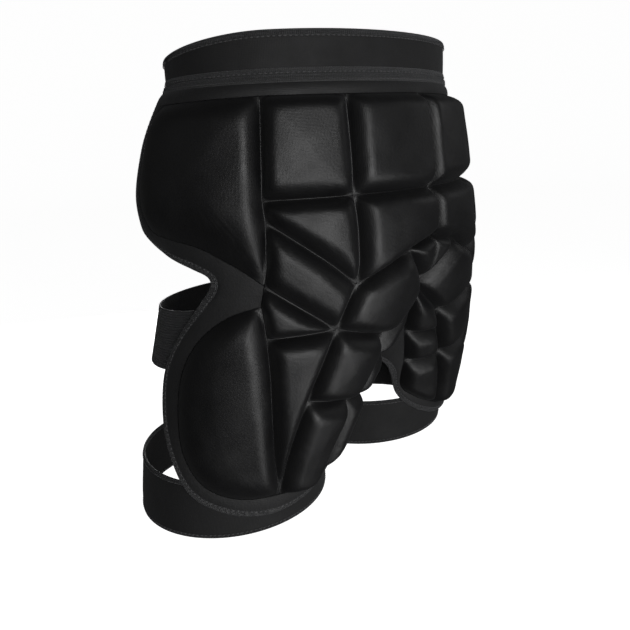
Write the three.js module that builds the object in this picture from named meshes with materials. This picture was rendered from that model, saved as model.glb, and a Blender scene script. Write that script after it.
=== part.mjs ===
// Hip pad for sport: a moulded foam shell for hips, seat and thighs, hung from a soft waist band
// and held to each thigh by two straps. Millimetres, +Z up, wearer's front towards -Y, wearer's
// left towards +X. The origin is the middle of the waist opening, level with the band's middle behind.

import * as THREE from "three";
import { mergeVertices } from "three/addons/utils/BufferGeometryUtils.js";

// Driving sizes of the body that the pad wraps
const WAIST_HALF_WIDTH = 125.5;
const WAIST_HALF_DEPTH = 100;
const HIP_HALF_WIDTH = 147;
const HIP_HALF_DEPTH = 117;
const THIGH_HALF_WIDTH = 87;
const THIGH_HALF_DEPTH = 86;
const THIGH_OFFSET = 99;
const THIGH_FORWARD = 29;
const FRONT_FLARE = 19;

// Heights, measured from the origin
const BAND_TOP = 18;
const SHELL_TOP = -16;
const SHELL_DROP = 323;
const STRAP_BOTTOM = -360;

// Sizes of the pieces
const CLOTH_GAP = 0.3;
const SHEET_THICKNESS = 2.6;
const CELL_HEIGHT = 12;
const CELL_SLOPE = 11;
const BAND_THICKNESS = 2.6;
const BAND_BINDING_HEIGHT = 5.6;
const BAND_BINDING_THICKNESS = 3.8;
const BAND_FRONT_DROOP = 9;
const TAPE_HEIGHT = 6;
const TAPE_THICKNESS = 4;
const TAB_WIDTH = 62;
const TAB_THICKNESS = 2;
const EDGE_BINDING_WIDTH = 4.5;
const EDGE_BINDING_THICKNESS = 3.6;
const STRAP_THICKNESS = 1.8;
const STRAP_INSET = 2.6;
const UPPER_STRAP_INSET = 1.7;
const UPPER_STRAP_HEIGHT = 48;
const UPPER_STRAP_FALL = 22;
const UPPER_STRAP_RISE = 6;
const LOWER_STRAP_HEIGHT = 50;
const STRAP_BINDING_HEIGHT = 4;
const STRAP_BINDING_THICKNESS = 2.6;
const STRAP_TILT = 0.03;
const CLEFT_CLEARANCE = 2;

// Roundness of the plan sections: 2 is an ellipse, less is fuller at the middle of the back
const EVEN_ROUNDNESS = 2;
const HIP_ROUNDNESS = 1.83;

// Fineness of the facets
const SAMPLE_STEP = 17;
const BAND_STATIONS = 56;
const STRAP_STATIONS = 44;
const MERGE_TOLERANCE = 1e-3;

// Plan sections from the band's top to the straps' foot. drop is a share of the whole height,
// waist and hip say how much of each named section the row takes (the thigh takes the rest),
// spread is a share of the thigh offset and flare is a share of the front flare.
const SECTIONS = [
  { drop: 0.000, waist: 1.00, hip: 0.00, spread: 0.00, flare: 0.0 },
  { drop: 0.075, waist: 1.00, hip: 0.00, spread: 0.00, flare: 0.0 },
  { drop: 0.106, waist: 0.72, hip: 0.28, spread: 0.00, flare: 0.2 },
  { drop: 0.202, waist: 0.36, hip: 0.64, spread: 0.03, flare: 0.8 },
  { drop: 0.287, waist: 0.14, hip: 0.86, spread: 0.10, flare: 1.0 },
  { drop: 0.350, waist: 0.03, hip: 0.97, spread: 0.17, flare: 0.8 },
  { drop: 0.400, waist: 0.00, hip: 0.99, spread: 0.25, flare: 0.2 },
  { drop: 0.495, waist: 0.00, hip: 0.85, spread: 0.41, flare: 0.0 },
  { drop: 0.601, waist: 0.00, hip: 0.66, spread: 0.61, flare: 0.0 },
  { drop: 0.707, waist: 0.00, hip: 0.46, spread: 0.81, flare: 0.0 },
  { drop: 0.814, waist: 0.00, hip: 0.25, spread: 0.93, flare: 0.0 },
  { drop: 0.907, waist: 0.00, hip: 0.10, spread: 0.98, flare: 0.0 },
  { drop: 1.000, waist: 0.00, hip: 0.00, spread: 1.00, flare: 0.0 },
];

// Where the grooves of one half meet. angle runs from the middle of the back round the side,
// in degrees, and drop is a share of the shell's height. A seam joint lies on the mid line.
const JOINTS = {
  seam_top: { seam: true, drop: 0.025 },
  seam_row: { seam: true, drop: 0.235 },
  seam_tail: { seam: true, drop: 0.345 },
  seam_cleft: { seam: true, drop: 0.471 },
  back_top: { angle: 30.5, drop: 0.025 },
  side_top: { angle: 58.5, drop: 0.024 },
  back_row: { angle: 28, drop: 0.235 },
  side_row: { angle: 58, drop: 0.236 },
  side_wedge: { angle: 57, drop: 0.280 },
  side_knot: { angle: 56, drop: 0.418 },
  seat_knot: { angle: 21.5, drop: 0.430 },
  seat_tip: { angle: 2.5, drop: 0.371 },
  star: { angle: 22.3, drop: 0.530 },
  panel_top: { angle: 55, drop: 0.463 },
  panel_side: { angle: 49.5, drop: 0.539 },
  panel_foot: { angle: 20, drop: 0.947 },
  thigh_mid: { angle: 21.5, drop: 0.698 },
  cleft_upper: { angle: -8.5, drop: 0.576 },
  cleft_middle: { angle: -9, drop: 0.638 },
  cleft_lower: { angle: -9, drop: 0.732 },
  cleft_foot: { angle: -4, drop: 0.938 },
  inner_upper: { angle: -29, drop: 0.630 },
  inner_middle: { angle: -32, drop: 0.740 },
  inner_lower: { angle: -33, drop: 0.840 },
  inner_foot: { angle: -22, drop: 0.890 },
  thigh_foot: { angle: 3, drop: 0.953 },
  front_top: { angle: 107, drop: 0.030 },
  front_upper: { angle: 109.5, drop: 0.080 },
  front_middle: { angle: 110, drop: 0.250 },
  front_turn: { angle: 106, drop: 0.303 },
  front_foot: { angle: 96, drop: 0.320 },
  hip_foot: { angle: 81, drop: 0.338 },
  hip_turn: { angle: 68, drop: 0.375 },
  panel_rise: { angle: 66, drop: 0.487 },
  panel_brow: { angle: 75, drop: 0.530 },
  panel_shoulder: { angle: 81, drop: 0.586 },
  panel_front: { angle: 83.5, drop: 0.650 },
  panel_waist: { angle: 81, drop: 0.750 },
  panel_hem: { angle: 73.5, drop: 0.838 },
  panel_corner: { angle: 60, drop: 0.906 },
  panel_base: { angle: 42, drop: 0.939 },
};

// The raised foam cells of one half, each by the joints around it
const CELLS = {
  front_panel: ["side_top", "side_row", "side_wedge", "side_knot", "hip_turn", "hip_foot",
    "front_foot", "front_turn", "front_middle", "front_upper", "front_top"],
  side_block: ["back_top", "side_top", "side_row", "back_row"],
  back_block: ["seam_top", "back_top", "back_row", "seam_row"],
  side_wedge: ["back_row", "side_row", "side_wedge", "seat_knot"],
  back_lower: ["seam_row", "back_row", "seat_knot", "seat_tip", "seam_tail"],
  side_lower: ["side_wedge", "seat_knot", "star", "side_knot"],
  small_wedge: ["side_knot", "star", "panel_side", "panel_top"],
  thigh_panel: ["panel_top", "panel_side", "panel_foot", "panel_base", "panel_corner", "panel_hem",
    "panel_waist", "panel_front", "panel_shoulder", "panel_brow", "panel_rise"],
  thigh_wedge: ["panel_side", "star", "thigh_mid", "panel_foot"],
  seat: ["seat_tip", "seat_knot", "star", "cleft_upper", "seam_cleft"],
  tail_wedge: ["seam_tail", "seat_tip", "seam_cleft"],
  cleft_block: ["seam_cleft", "cleft_upper", "cleft_middle", "inner_upper"],
  thigh_block: ["cleft_upper", "star", "thigh_mid", "cleft_lower", "cleft_middle"],
  inner_block: ["inner_upper", "cleft_middle", "cleft_lower", "inner_middle"],
  thigh_lower: ["cleft_lower", "thigh_mid", "panel_foot", "thigh_foot", "cleft_foot"],
  inner_lower: ["inner_middle", "cleft_lower", "cleft_foot", "inner_foot", "inner_lower"],
};

// The flat flange round the cells: each joint at the cells' edge with its place on the outline
const FLANGE = [
  { joint: "seam_top", seam: true, drop: 0.000 },
  { joint: "back_top", angle: 30.5, drop: 0.000 },
  { joint: "side_top", angle: 58.5, drop: 0.000 },
  { joint: "front_top", angle: 114, drop: 0.000 },
  { joint: "front_upper", angle: 117.5, drop: 0.065 },
  { joint: "front_middle", angle: 118, drop: 0.255 },
  { joint: "front_turn", angle: 114.5, drop: 0.325 },
  { joint: "front_foot", angle: 103, drop: 0.360 },
  { joint: "hip_foot", angle: 86, drop: 0.386 },
  { joint: "hip_turn", angle: 78, drop: 0.403 },
  { joint: "side_knot", angle: 76.5, drop: 0.419 },
  { joint: "panel_top", angle: 77.2, drop: 0.436 },
  { joint: "panel_rise", angle: 80, drop: 0.465 },
  { joint: "panel_brow", angle: 87, drop: 0.533 },
  { joint: "panel_shoulder", angle: 92.5, drop: 0.598 },
  { joint: "panel_front", angle: 95, drop: 0.655 },
  { joint: "panel_waist", angle: 91.5, drop: 0.756 },
  { joint: "panel_hem", angle: 82, drop: 0.848 },
  { joint: "panel_corner", angle: 68, drop: 0.930 },
  { joint: "panel_base", angle: 47, drop: 0.978 },
  { joint: "panel_foot", angle: 23, drop: 1.000 },
  { joint: "thigh_foot", angle: 4, drop: 0.990 },
  { joint: "cleft_foot", angle: -6, drop: 0.975 },
  { joint: "inner_foot", angle: -23, drop: 0.930 },
  { joint: "inner_lower", angle: -35.5, drop: 0.868 },
  { joint: "inner_middle", angle: -43, drop: 0.750 },
  { joint: "inner_upper", seam: true, drop: 0.690 },
  { joint: "seam_cleft", seam: true, drop: 0.471 },
];

// The upper strap's run round the thigh: where it starts and ends behind the shell, the height of
// its start as a share of the shell's height, and how far along it is lowest
const UPPER_STRAP = { from: 68, to: 326, drop: 0.54, lowest: 0.48 };

const SHELL_CLOTH = { color: 0x1b1b1d, roughness: 0.62, metalness: 0 };
const BAND_CLOTH = { color: 0x1e1e20, roughness: 0.75, metalness: 0 };
const RIBBED_TAPE = { color: 0x232325, roughness: 0.85, metalness: 0 };

const TOTAL_DROP = BAND_TOP - STRAP_BOTTOM;
const SHELL_FOOT = SHELL_TOP - SHELL_DROP;

// Value of one column of the section table at a height, on a smooth curve through its rows
function sectionValue(key, z) {
  const drop = THREE.MathUtils.clamp((BAND_TOP - z) / TOTAL_DROP, 0, 1);
  const last = SECTIONS.length - 1;
  let row = 0;
  while (row < last - 1 && SECTIONS[row + 1].drop < drop) {
    row += 1;
  }
  const span = SECTIONS[row + 1].drop - SECTIONS[row].drop;
  const t = (drop - SECTIONS[row].drop) / span;
  const startSlope = rowSlope(key, row) * span;
  const endSlope = rowSlope(key, row + 1) * span;
  const start = SECTIONS[row][key];
  const rise = SECTIONS[row + 1][key] - start;
  const bend = startSlope + endSlope - 2 * rise;
  return start + t * (startSlope + t * (rise - startSlope - bend + t * bend));
}

// Slope of a column at a row, level where the column turns or stands still
function rowSlope(key, row) {
  if (row === 0 || row === SECTIONS.length - 1) {
    return 0;
  }
  const [above, here, below] = [SECTIONS[row - 1], SECTIONS[row], SECTIONS[row + 1]];
  const before = (here[key] - above[key]) / (here.drop - above.drop);
  const after = (below[key] - here[key]) / (below.drop - here.drop);
  return before * after <= 0 ? 0 : (2 * before * after) / (before + after);
}

// The body's plan section at a height, as half widths round the leg's own middle
function section(z) {
  const waist = sectionValue("waist", z);
  const hip = sectionValue("hip", z);
  const thigh = 1 - waist - hip;
  const offset = THIGH_OFFSET * sectionValue("spread", z);
  const outer = waist * WAIST_HALF_WIDTH + hip * HIP_HALF_WIDTH
    + thigh * (THIGH_OFFSET + THIGH_HALF_WIDTH);
  return {
    offset,
    halfWidth: outer - offset,
    halfDepth: waist * WAIST_HALF_DEPTH + hip * HIP_HALF_DEPTH + thigh * THIGH_HALF_DEPTH,
    middle: -THIGH_FORWARD * thigh,
    roundness: EVEN_ROUNDNESS + hip * (HIP_ROUNDNESS - EVEN_ROUNDNESS),
    flare: FRONT_FLARE * sectionValue("flare", z),
  };
}

// Point of the body's skin on the left half
function skinPoint(angle, z) {
  const { offset, halfWidth, halfDepth, middle, roundness, flare } = section(z);
  const turn = THREE.MathUtils.degToRad(angle);
  const side = Math.sin(turn);
  const back = Math.cos(turn);
  const reach = (Math.abs(side) ** roundness + Math.abs(back) ** roundness) ** (-1 / roundness);
  const spread = 1 + (flare / halfWidth) * THREE.MathUtils.smoothstep(angle, 82, 122);
  return new THREE.Vector3(
    offset + halfWidth * side * reach * spread,
    middle + halfDepth * back * reach * spread,
    z,
  );
}

// Outward direction of the skin
function skinNormal(angle, z) {
  const small = 0.25;
  const along = skinPoint(angle + small, z).sub(skinPoint(angle - small, z));
  const up = skinPoint(angle, z + small).sub(skinPoint(angle, z - small));
  return up.cross(along).normalize();
}

// Point at a distance off the skin
function lifted(angle, z, lift) {
  return skinPoint(angle, z).addScaledVector(skinNormal(angle, z), lift);
}

// Angle at which the skin meets the wearer's mid line behind
function seamAngle(z) {
  let [low, high] = [-90, 0];
  for (let pass = 0; pass < 40; pass += 1) {
    const middle = (low + high) / 2;
    if (skinPoint(middle, z).x > 0) {
      high = middle;
    } else {
      low = middle;
    }
  }
  return high;
}

// A place on the shell, from a row of a table
function place(row) {
  const z = SHELL_TOP - SHELL_DROP * row.drop;
  return { angle: row.seam ? seamAngle(z) : row.angle, z, seam: Boolean(row.seam) };
}

// A place as a point of the shell, exactly on the mid plane along the seam
function shellPoint(spot, lift) {
  const point = lifted(spot.angle, spot.z, lift);
  if (spot.seam) {
    point.x = 0;
  }
  return point;
}

// Place between two places
function between(start, end, share) {
  const z = THREE.MathUtils.lerp(start.z, end.z, share);
  const seam = start.seam && end.seam;
  const angle = seam ? seamAngle(z) : THREE.MathUtils.lerp(start.angle, end.angle, share);
  const onSeam = seam || (start.seam && share === 0) || (end.seam && share === 1);
  return { angle, z, seam: onSeam };
}

// Places along the straight line between two joints, without the last
function edgePlaces(start, end, steps) {
  return Array.from({ length: steps }, (_, i) => between(start, end, i / steps));
}

// Number of steps that an edge between two joints is cut into
function edgeSteps(start, end) {
  const length = skinPoint(start.angle, start.z).distanceTo(skinPoint(end.angle, end.z));
  return Math.max(1, Math.round(length / SAMPLE_STEP));
}

// Places all round a cell
function cellOutline(names) {
  const corners = names.map((name) => place(JOINTS[name]));
  return corners.flatMap((corner, i) => {
    const next = corners[(i + 1) % corners.length];
    return edgePlaces(corner, next, edgeSteps(corner, next));
  });
}

// Middle of a ring of places
function ringMiddle(ring) {
  const total = ring.reduce((sum, spot) => [sum[0] + spot.angle, sum[1] + spot.z], [0, 0]);
  return { angle: total[0] / ring.length, z: total[1] / ring.length, seam: false };
}

// Ring drawn in towards its middle by a share
function shrunkRing(ring, middle, share) {
  return ring.map((spot) => ({
    angle: THREE.MathUtils.lerp(spot.angle, middle.angle, share),
    z: THREE.MathUtils.lerp(spot.z, middle.z, share),
    seam: false,
  }));
}

// Sine of the angle at a point between the way to the middle and the way to a neighbour
function sideSine(point, neighbour, centre) {
  const inward = centre.clone().sub(point).normalize();
  const along = neighbour.clone().sub(point).normalize();
  return inward.cross(along).length();
}

// Ring drawn in until it lies a distance from the ring's sides, at most two thirds of the way
function insetRing(ring, middle, distance) {
  const centre = skinPoint(middle.angle, middle.z);
  const points = ring.map((spot) => skinPoint(spot.angle, spot.z));
  return ring.map((spot, i) => {
    const before = points[(i + ring.length - 1) % ring.length];
    const after = points[(i + 1) % ring.length];
    const sine = Math.min(sideSine(points[i], before, centre), sideSine(points[i], after, centre));
    const share = distance / (points[i].distanceTo(centre) * sine);
    return shrunkRing([spot], middle, Math.min(share, 0.66))[0];
  });
}

// Collects triangles of one closed body
class Skin {
  constructor() {
    this.corners = [];
  }

  triangle(a, b, c) {
    if (a.distanceTo(b) > MERGE_TOLERANCE && b.distanceTo(c) > MERGE_TOLERANCE
      && c.distanceTo(a) > MERGE_TOLERANCE) {
      this.corners.push(a, b, c);
    }
  }

  quad(a, b, c, d) {
    this.triangle(a, b, c);
    this.triangle(a, c, d);
  }

  // Strip of quads between two rows of points of equal length
  strip(first, second, closed) {
    const count = closed ? first.length : first.length - 1;
    for (let i = 0; i < count; i += 1) {
      const next = (i + 1) % first.length;
      this.quad(first[i], first[next], second[next], second[i]);
    }
  }

  fan(ring, tip) {
    ring.forEach((point, i) => this.triangle(point, ring[(i + 1) % ring.length], tip));
  }

  // Adds the same triangles on the other side of the wearer's mid plane
  mirror() {
    const flip = (point) => new THREE.Vector3(-point.x, point.y, point.z);
    const count = this.corners.length;
    for (let i = 0; i < count; i += 3) {
      this.corners.push(flip(this.corners[i]), flip(this.corners[i + 2]), flip(this.corners[i + 1]));
    }
  }

  // Volume inside the body, negative when its faces look inward
  volume() {
    let total = 0;
    for (let i = 0; i < this.corners.length; i += 3) {
      const [a, b, c] = this.corners.slice(i, i + 3);
      total += a.dot(b.clone().cross(c)) / 6;
    }
    return total;
  }

  // The body as a mesh whose faces look outward
  geometry() {
    const inward = this.volume() < 0;
    const points = inward ? [...this.corners].reverse() : this.corners;
    return mergeVertices(new THREE.BufferGeometry().setFromPoints(points), MERGE_TOLERANCE);
  }
}

// Turn sense of a ring on the skin, positive when it runs with the outward side in front
function ringSense(ring) {
  let area = 0;
  ring.forEach((spot, i) => {
    const next = ring[(i + 1) % ring.length];
    area += spot.angle * next.z - next.angle * spot.z;
  });
  return area;
}

// One raised cell with the flat skin behind it
function addCell(skin, names) {
  const outline = cellOutline(names);
  const ring = ringSense(outline) > 0 ? outline : outline.reverse();
  const middle = ringMiddle(ring);
  const shoulder = insetRing(ring, middle, CELL_SLOPE);
  const crown = shrunkRing(shoulder, middle, 0.5);
  const inner = shrunkRing(ring, middle, 0.5);
  const top = SHEET_THICKNESS + CELL_HEIGHT;
  const points = (spots, lift) => spots.map((spot) => shellPoint(spot, lift));
  const foot = points(ring, SHEET_THICKNESS);
  const edge = points(shoulder, top);
  const plateau = points(crown, top);
  skin.strip(foot, edge, true);
  skin.strip(edge, plateau, true);
  skin.fan(plateau, shellPoint(middle, top));
  const back = points(ring, 0).reverse();
  const backInner = points(inner, 0).reverse();
  skin.strip(back, backInner, true);
  skin.fan(backInner, shellPoint(middle, 0));
}

// Chains of places along the cells' edge and along the outline, matched one to one
function flangeChains() {
  const cells = [];
  const outline = [];
  for (let i = 0; i + 1 < FLANGE.length; i += 1) {
    const [start, end] = [JOINTS[FLANGE[i].joint], JOINTS[FLANGE[i + 1].joint]].map(place);
    const [from, to] = [place(FLANGE[i]), place(FLANGE[i + 1])];
    const steps = edgeSteps(start, end);
    cells.push(...edgePlaces(start, end, steps));
    outline.push(...edgePlaces(from, to, steps));
  }
  cells.push(place(JOINTS.seam_cleft));
  outline.push(place(FLANGE[FLANGE.length - 1]));
  return { cells, outline };
}

// Number of the outline's first bound place (the front's top) and of its last (the notch)
function boundStretch(outline) {
  const first = outline.findIndex((spot) => spot.angle >= FLANGE[3].angle);
  const notch = place(FLANGE[FLANGE.length - 2]);
  const last = outline.findIndex((spot) => spot.seam && Math.abs(spot.z - notch.z) < CLOTH_GAP);
  return { first, last };
}

// Places on the outline drawn in across the flange by a width
function drawnIn(cells, outline, width) {
  return outline.map((spot, i) => {
    const reach = shellPoint(spot, 0).distanceTo(shellPoint(cells[i], 0));
    const share = Math.min(width / Math.max(reach, width), 1);
    return spot.seam ? seamDrawnIn(spot, width) : between(spot, { ...cells[i], seam: false }, share);
  });
}

// A seam place drawn up the mid line by a width
function seamDrawnIn(spot, width) {
  const z = spot.z + width;
  return { angle: seamAngle(z), z, seam: true };
}

// The outline of the sheet itself, which stops short of the binding where it is bound
function sheetOutline(cells, outline) {
  const { first, last } = boundStretch(outline);
  const inset = drawnIn(cells, outline, EDGE_BINDING_WIDTH + CLOTH_GAP);
  return outline.map((spot, i) => (i >= first && i <= last ? inset[i] : spot));
}

// The whole moulded shell: cells, flange and rim of one half, mirrored
function padShell() {
  const skin = new Skin();
  Object.values(CELLS).forEach((names) => addCell(skin, names));
  const { cells, outline } = flangeChains();
  const rim = sheetOutline(cells, outline);
  const face = (spots, lift) => spots.map((spot) => shellPoint(spot, lift));
  skin.strip(face(cells, SHEET_THICKNESS), face(rim, SHEET_THICKNESS), false);
  skin.strip(face(rim, 0), face(cells, 0), false);
  const { last } = boundStretch(outline);
  const free = rim.slice(0, last + 1);
  skin.strip(face(free, SHEET_THICKNESS), face(free, 0), false);
  skin.mirror();
  return skin.geometry();
}

// The folded binding round the shell's free edge, from front to front through the notch
function edgeBinding() {
  const skin = new Skin();
  const { cells, outline } = flangeChains();
  const { first, last } = boundStretch(outline);
  const outer = outline.slice(first, last + 1);
  const inner = drawnIn(cells, outline, EDGE_BINDING_WIDTH).slice(first, last + 1);
  const low = (SHEET_THICKNESS - EDGE_BINDING_THICKNESS) / 2;
  const high = low + EDGE_BINDING_THICKNESS;
  const rows = [[outer, high], [inner, high], [inner, low], [outer, low]]
    .map(([spots, lift]) => spots.map((spot) => shellPoint(spot, lift)));
  rows.forEach((row, i) => skin.strip(row, rows[(i + 1) % rows.length], false));
  skin.quad(rows[0][0], rows[1][0], rows[2][0], rows[3][0]);
  skin.mirror();
  return skin.geometry();
}

// Ring of stations round the waist, each station a list of corner points
function waistLoop(corners) {
  const skin = new Skin();
  const stations = Array.from({ length: BAND_STATIONS }, (_, i) => {
    const angle = (i * 360) / BAND_STATIONS;
    return corners(angle > 180 ? 360 - angle : angle)
      .map((point) => (angle > 180 ? new THREE.Vector3(-point.x, point.y, point.z) : point));
  });
  addLoop(skin, stations);
  return skin.geometry();
}

// Side walls of a closed ring of stations
function addLoop(skin, stations) {
  const size = stations[0].length;
  for (let k = 0; k < size; k += 1) {
    const row = stations.map((station) => station[k]);
    const next = stations.map((station) => station[(k + 1) % size]);
    skin.strip(row, next, true);
  }
}

// Corner points of a strip's section between two heights and two distances off the skin
function stripCorners(angle, top, foot, inside, outside) {
  return [
    lifted(angle, top, outside),
    lifted(angle, top, inside),
    lifted(angle, foot, inside),
    lifted(angle, foot, outside),
  ];
}

// Height of the band's top edge, which droops towards the front
function bandTop(angle) {
  return BAND_TOP - BAND_FRONT_DROOP * THREE.MathUtils.smoothstep(angle, 55, 125);
}

const TAPE_TOP = SHELL_TOP + TAPE_HEIGHT;

function waistBand() {
  const foot = TAPE_TOP + CLOTH_GAP;
  const top = (angle) => bandTop(angle) - BAND_BINDING_HEIGHT - CLOTH_GAP;
  return waistLoop((angle) => stripCorners(angle, top(angle), foot, 0, BAND_THICKNESS));
}

function waistBinding() {
  const inside = (BAND_THICKNESS - BAND_BINDING_THICKNESS) / 2;
  const outside = inside + BAND_BINDING_THICKNESS;
  return waistLoop((angle) => {
    const top = bandTop(angle);
    return stripCorners(angle, top, top - BAND_BINDING_HEIGHT, inside, outside);
  });
}

function waistTape() {
  return waistLoop((angle) => stripCorners(angle, TAPE_TOP, SHELL_TOP + CLOTH_GAP, 0, TAPE_THICKNESS));
}

// The plain flap that closes the band in front
function waistTab() {
  const inside = BAND_THICKNESS + CLOTH_GAP;
  const foot = TAPE_TOP + 2 * CLOTH_GAP;
  const top = bandTop(180) - BAND_BINDING_HEIGHT - 2 * CLOTH_GAP;
  const halfAngle = THREE.MathUtils.radToDeg(TAB_WIDTH / 2 / WAIST_HALF_DEPTH);
  const steps = 6;
  const rows = Array.from({ length: steps + 1 }, (_, i) => {
    const angle = 180 - halfAngle + (2 * halfAngle * i) / steps;
    const mirrored = angle > 180;
    return stripCorners(mirrored ? 360 - angle : angle, top, foot, inside, inside + TAB_THICKNESS)
      .map((point) => (mirrored ? new THREE.Vector3(-point.x, point.y, point.z) : point));
  });
  const skin = new Skin();
  for (let k = 0; k < 4; k += 1) {
    skin.strip(rows.map((row) => row[k]), rows.map((row) => row[(k + 1) % 4]), false);
  }
  skin.quad(rows[0][0], rows[0][1], rows[0][2], rows[0][3]);
  skin.quad(rows[steps][3], rows[steps][2], rows[steps][1], rows[steps][0]);
  return skin.geometry();
}

// Moves a strap's corners off the mid plane, so that it stays clear of the other leg's strap
function keptClear(corners) {
  const reach = [0, STRAP_THICKNESS, STRAP_THICKNESS, 0];
  return corners.map((point, i) => point.setX(Math.max(point.x, CLEFT_CLEARANCE + reach[i])));
}

// Height of the lower strap's foot, which hangs a little lower in front
function lowerStrapFoot(angle) {
  return STRAP_BOTTOM + STRAP_TILT * THIGH_HALF_DEPTH * Math.cos(THREE.MathUtils.degToRad(angle));
}

// A level ring of the lower strap between two heights over its foot
function lowerStrapRing(side, from, to, thickness) {
  const skin = new Skin();
  const outside = -STRAP_INSET;
  const stations = Array.from({ length: STRAP_STATIONS }, (_, i) => {
    const angle = (i * 360) / STRAP_STATIONS;
    const foot = lowerStrapFoot(angle);
    return stripCorners(angle, foot + to, foot + from, outside - thickness, outside);
  });
  addLoop(skin, stations);
  return sided(skin, side);
}

// Middle height of the upper strap, which falls round the front and rises to the notch
function upperStrapMiddle(share) {
  const start = SHELL_TOP - SHELL_DROP * UPPER_STRAP.drop;
  const fall = 1 - (1 - Math.min(share / UPPER_STRAP.lowest, 1)) ** 2;
  const rise = THREE.MathUtils.smoothstep(share, UPPER_STRAP.lowest, 1);
  return start - UPPER_STRAP_FALL * fall + UPPER_STRAP_RISE * rise;
}

// The open strap round the front of the thigh, sewn behind the shell at both ends
function upperStrap(side) {
  const skin = new Skin();
  const half = UPPER_STRAP_HEIGHT / 2;
  const stations = Array.from({ length: STRAP_STATIONS + 1 }, (_, i) => {
    const share = i / STRAP_STATIONS;
    const angle = THREE.MathUtils.lerp(UPPER_STRAP.from, UPPER_STRAP.to, share);
    const z = upperStrapMiddle(share);
    const outside = -UPPER_STRAP_INSET;
    return keptClear(stripCorners(angle, z + half, z - half, outside - STRAP_THICKNESS, outside));
  });
  for (let k = 0; k < 4; k += 1) {
    skin.strip(stations.map((row) => row[k]), stations.map((row) => row[(k + 1) % 4]), false);
  }
  skin.quad(...stations[0]);
  skin.quad(...[...stations[STRAP_STATIONS]].reverse());
  return sided(skin, side);
}

// The geometry of a left piece, or its mirror image on the right
function sided(skin, side) {
  if (side === "right") {
    const flipped = new Skin();
    for (let i = 0; i < skin.corners.length; i += 3) {
      const [a, b, c] = [0, 2, 1].map((k) => skin.corners[i + k].clone().setX(-skin.corners[i + k].x));
      flipped.triangle(a, b, c);
    }
    return flipped.geometry();
  }
  return skin.geometry();
}

// A named piece in its cloth
function piece(name, geometry, cloth) {
  const mesh = new THREE.Mesh(geometry, new THREE.MeshStandardMaterial(cloth));
  mesh.name = name;
  return mesh;
}

// The straps of one leg
function legStraps(side) {
  const edge = STRAP_BINDING_HEIGHT;
  const core = [edge + CLOTH_GAP, LOWER_STRAP_HEIGHT - edge - CLOTH_GAP];
  const leg = new THREE.Group();
  leg.add(
    piece(`upper_strap_${side}`, upperStrap(side), RIBBED_TAPE),
    piece(`lower_strap_${side}`, lowerStrapRing(side, ...core, STRAP_THICKNESS), BAND_CLOTH),
    piece(`strap_top_binding_${side}`,
      lowerStrapRing(side, LOWER_STRAP_HEIGHT - edge, LOWER_STRAP_HEIGHT, STRAP_BINDING_THICKNESS),
      RIBBED_TAPE),
    piece(`strap_foot_binding_${side}`, lowerStrapRing(side, 0, edge, STRAP_BINDING_THICKNESS),
      RIBBED_TAPE),
  );
  return leg;
}

const hipPad = new THREE.Group();
hipPad.add(
  piece("pad_shell", padShell(), SHELL_CLOTH),
  piece("edge_binding", edgeBinding(), RIBBED_TAPE),
  piece("waist_band", waistBand(), BAND_CLOTH),
  piece("waist_binding", waistBinding(), RIBBED_TAPE),
  piece("waist_tape", waistTape(), RIBBED_TAPE),
  piece("waist_tab", waistTab(), BAND_CLOTH),
  legStraps("left"),
  legStraps("right"),
);

export default hipPad;
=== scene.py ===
"""Hip pad for sport, dressed for its picture.

The frame holds the plain solids. This script replaces them with the finished soft goods: the
moulded foam shell with its raised cells, the bindings, the waist band and the thigh straps.
Lengths are in metres, +Z is up, the wearer's front faces -Y and the wearer's left is +X.
"""

import logging
import math
from dataclasses import dataclass
from enum import Enum
from typing import Callable, NamedTuple, Sequence

import bmesh
import bpy
import numpy as np
from mathutils import Matrix, Vector


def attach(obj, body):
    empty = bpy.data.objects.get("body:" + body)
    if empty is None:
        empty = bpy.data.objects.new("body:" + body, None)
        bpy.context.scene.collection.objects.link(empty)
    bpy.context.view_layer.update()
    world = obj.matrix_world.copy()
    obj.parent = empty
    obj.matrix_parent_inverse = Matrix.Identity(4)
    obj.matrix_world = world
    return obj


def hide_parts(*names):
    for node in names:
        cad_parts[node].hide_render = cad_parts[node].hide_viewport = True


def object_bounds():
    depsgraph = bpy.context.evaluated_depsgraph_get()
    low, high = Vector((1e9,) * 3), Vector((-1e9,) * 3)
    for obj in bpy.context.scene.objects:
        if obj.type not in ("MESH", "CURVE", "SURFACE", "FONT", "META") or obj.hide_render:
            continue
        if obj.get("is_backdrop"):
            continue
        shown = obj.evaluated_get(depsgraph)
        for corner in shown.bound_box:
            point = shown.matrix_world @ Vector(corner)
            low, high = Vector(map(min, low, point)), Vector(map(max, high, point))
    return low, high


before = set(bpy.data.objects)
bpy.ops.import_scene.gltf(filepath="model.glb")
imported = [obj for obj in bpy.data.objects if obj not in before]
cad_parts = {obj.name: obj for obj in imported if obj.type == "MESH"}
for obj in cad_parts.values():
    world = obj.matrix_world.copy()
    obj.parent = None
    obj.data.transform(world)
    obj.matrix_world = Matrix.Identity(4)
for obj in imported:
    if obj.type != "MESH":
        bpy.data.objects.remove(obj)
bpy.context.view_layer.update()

Curve = Callable[[np.ndarray], np.ndarray]
LOG = logging.getLogger("hip_pad")
BODY = "root"
IMAGE_WIDTH = 630


class Side(Enum):
    """The wearer's side that a piece is worn on."""

    LEFT = 1
    RIGHT = -1

    @property
    def word(self) -> str:
        """Name of the side, as the nodes spell it."""
        return self.name.lower()


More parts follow.
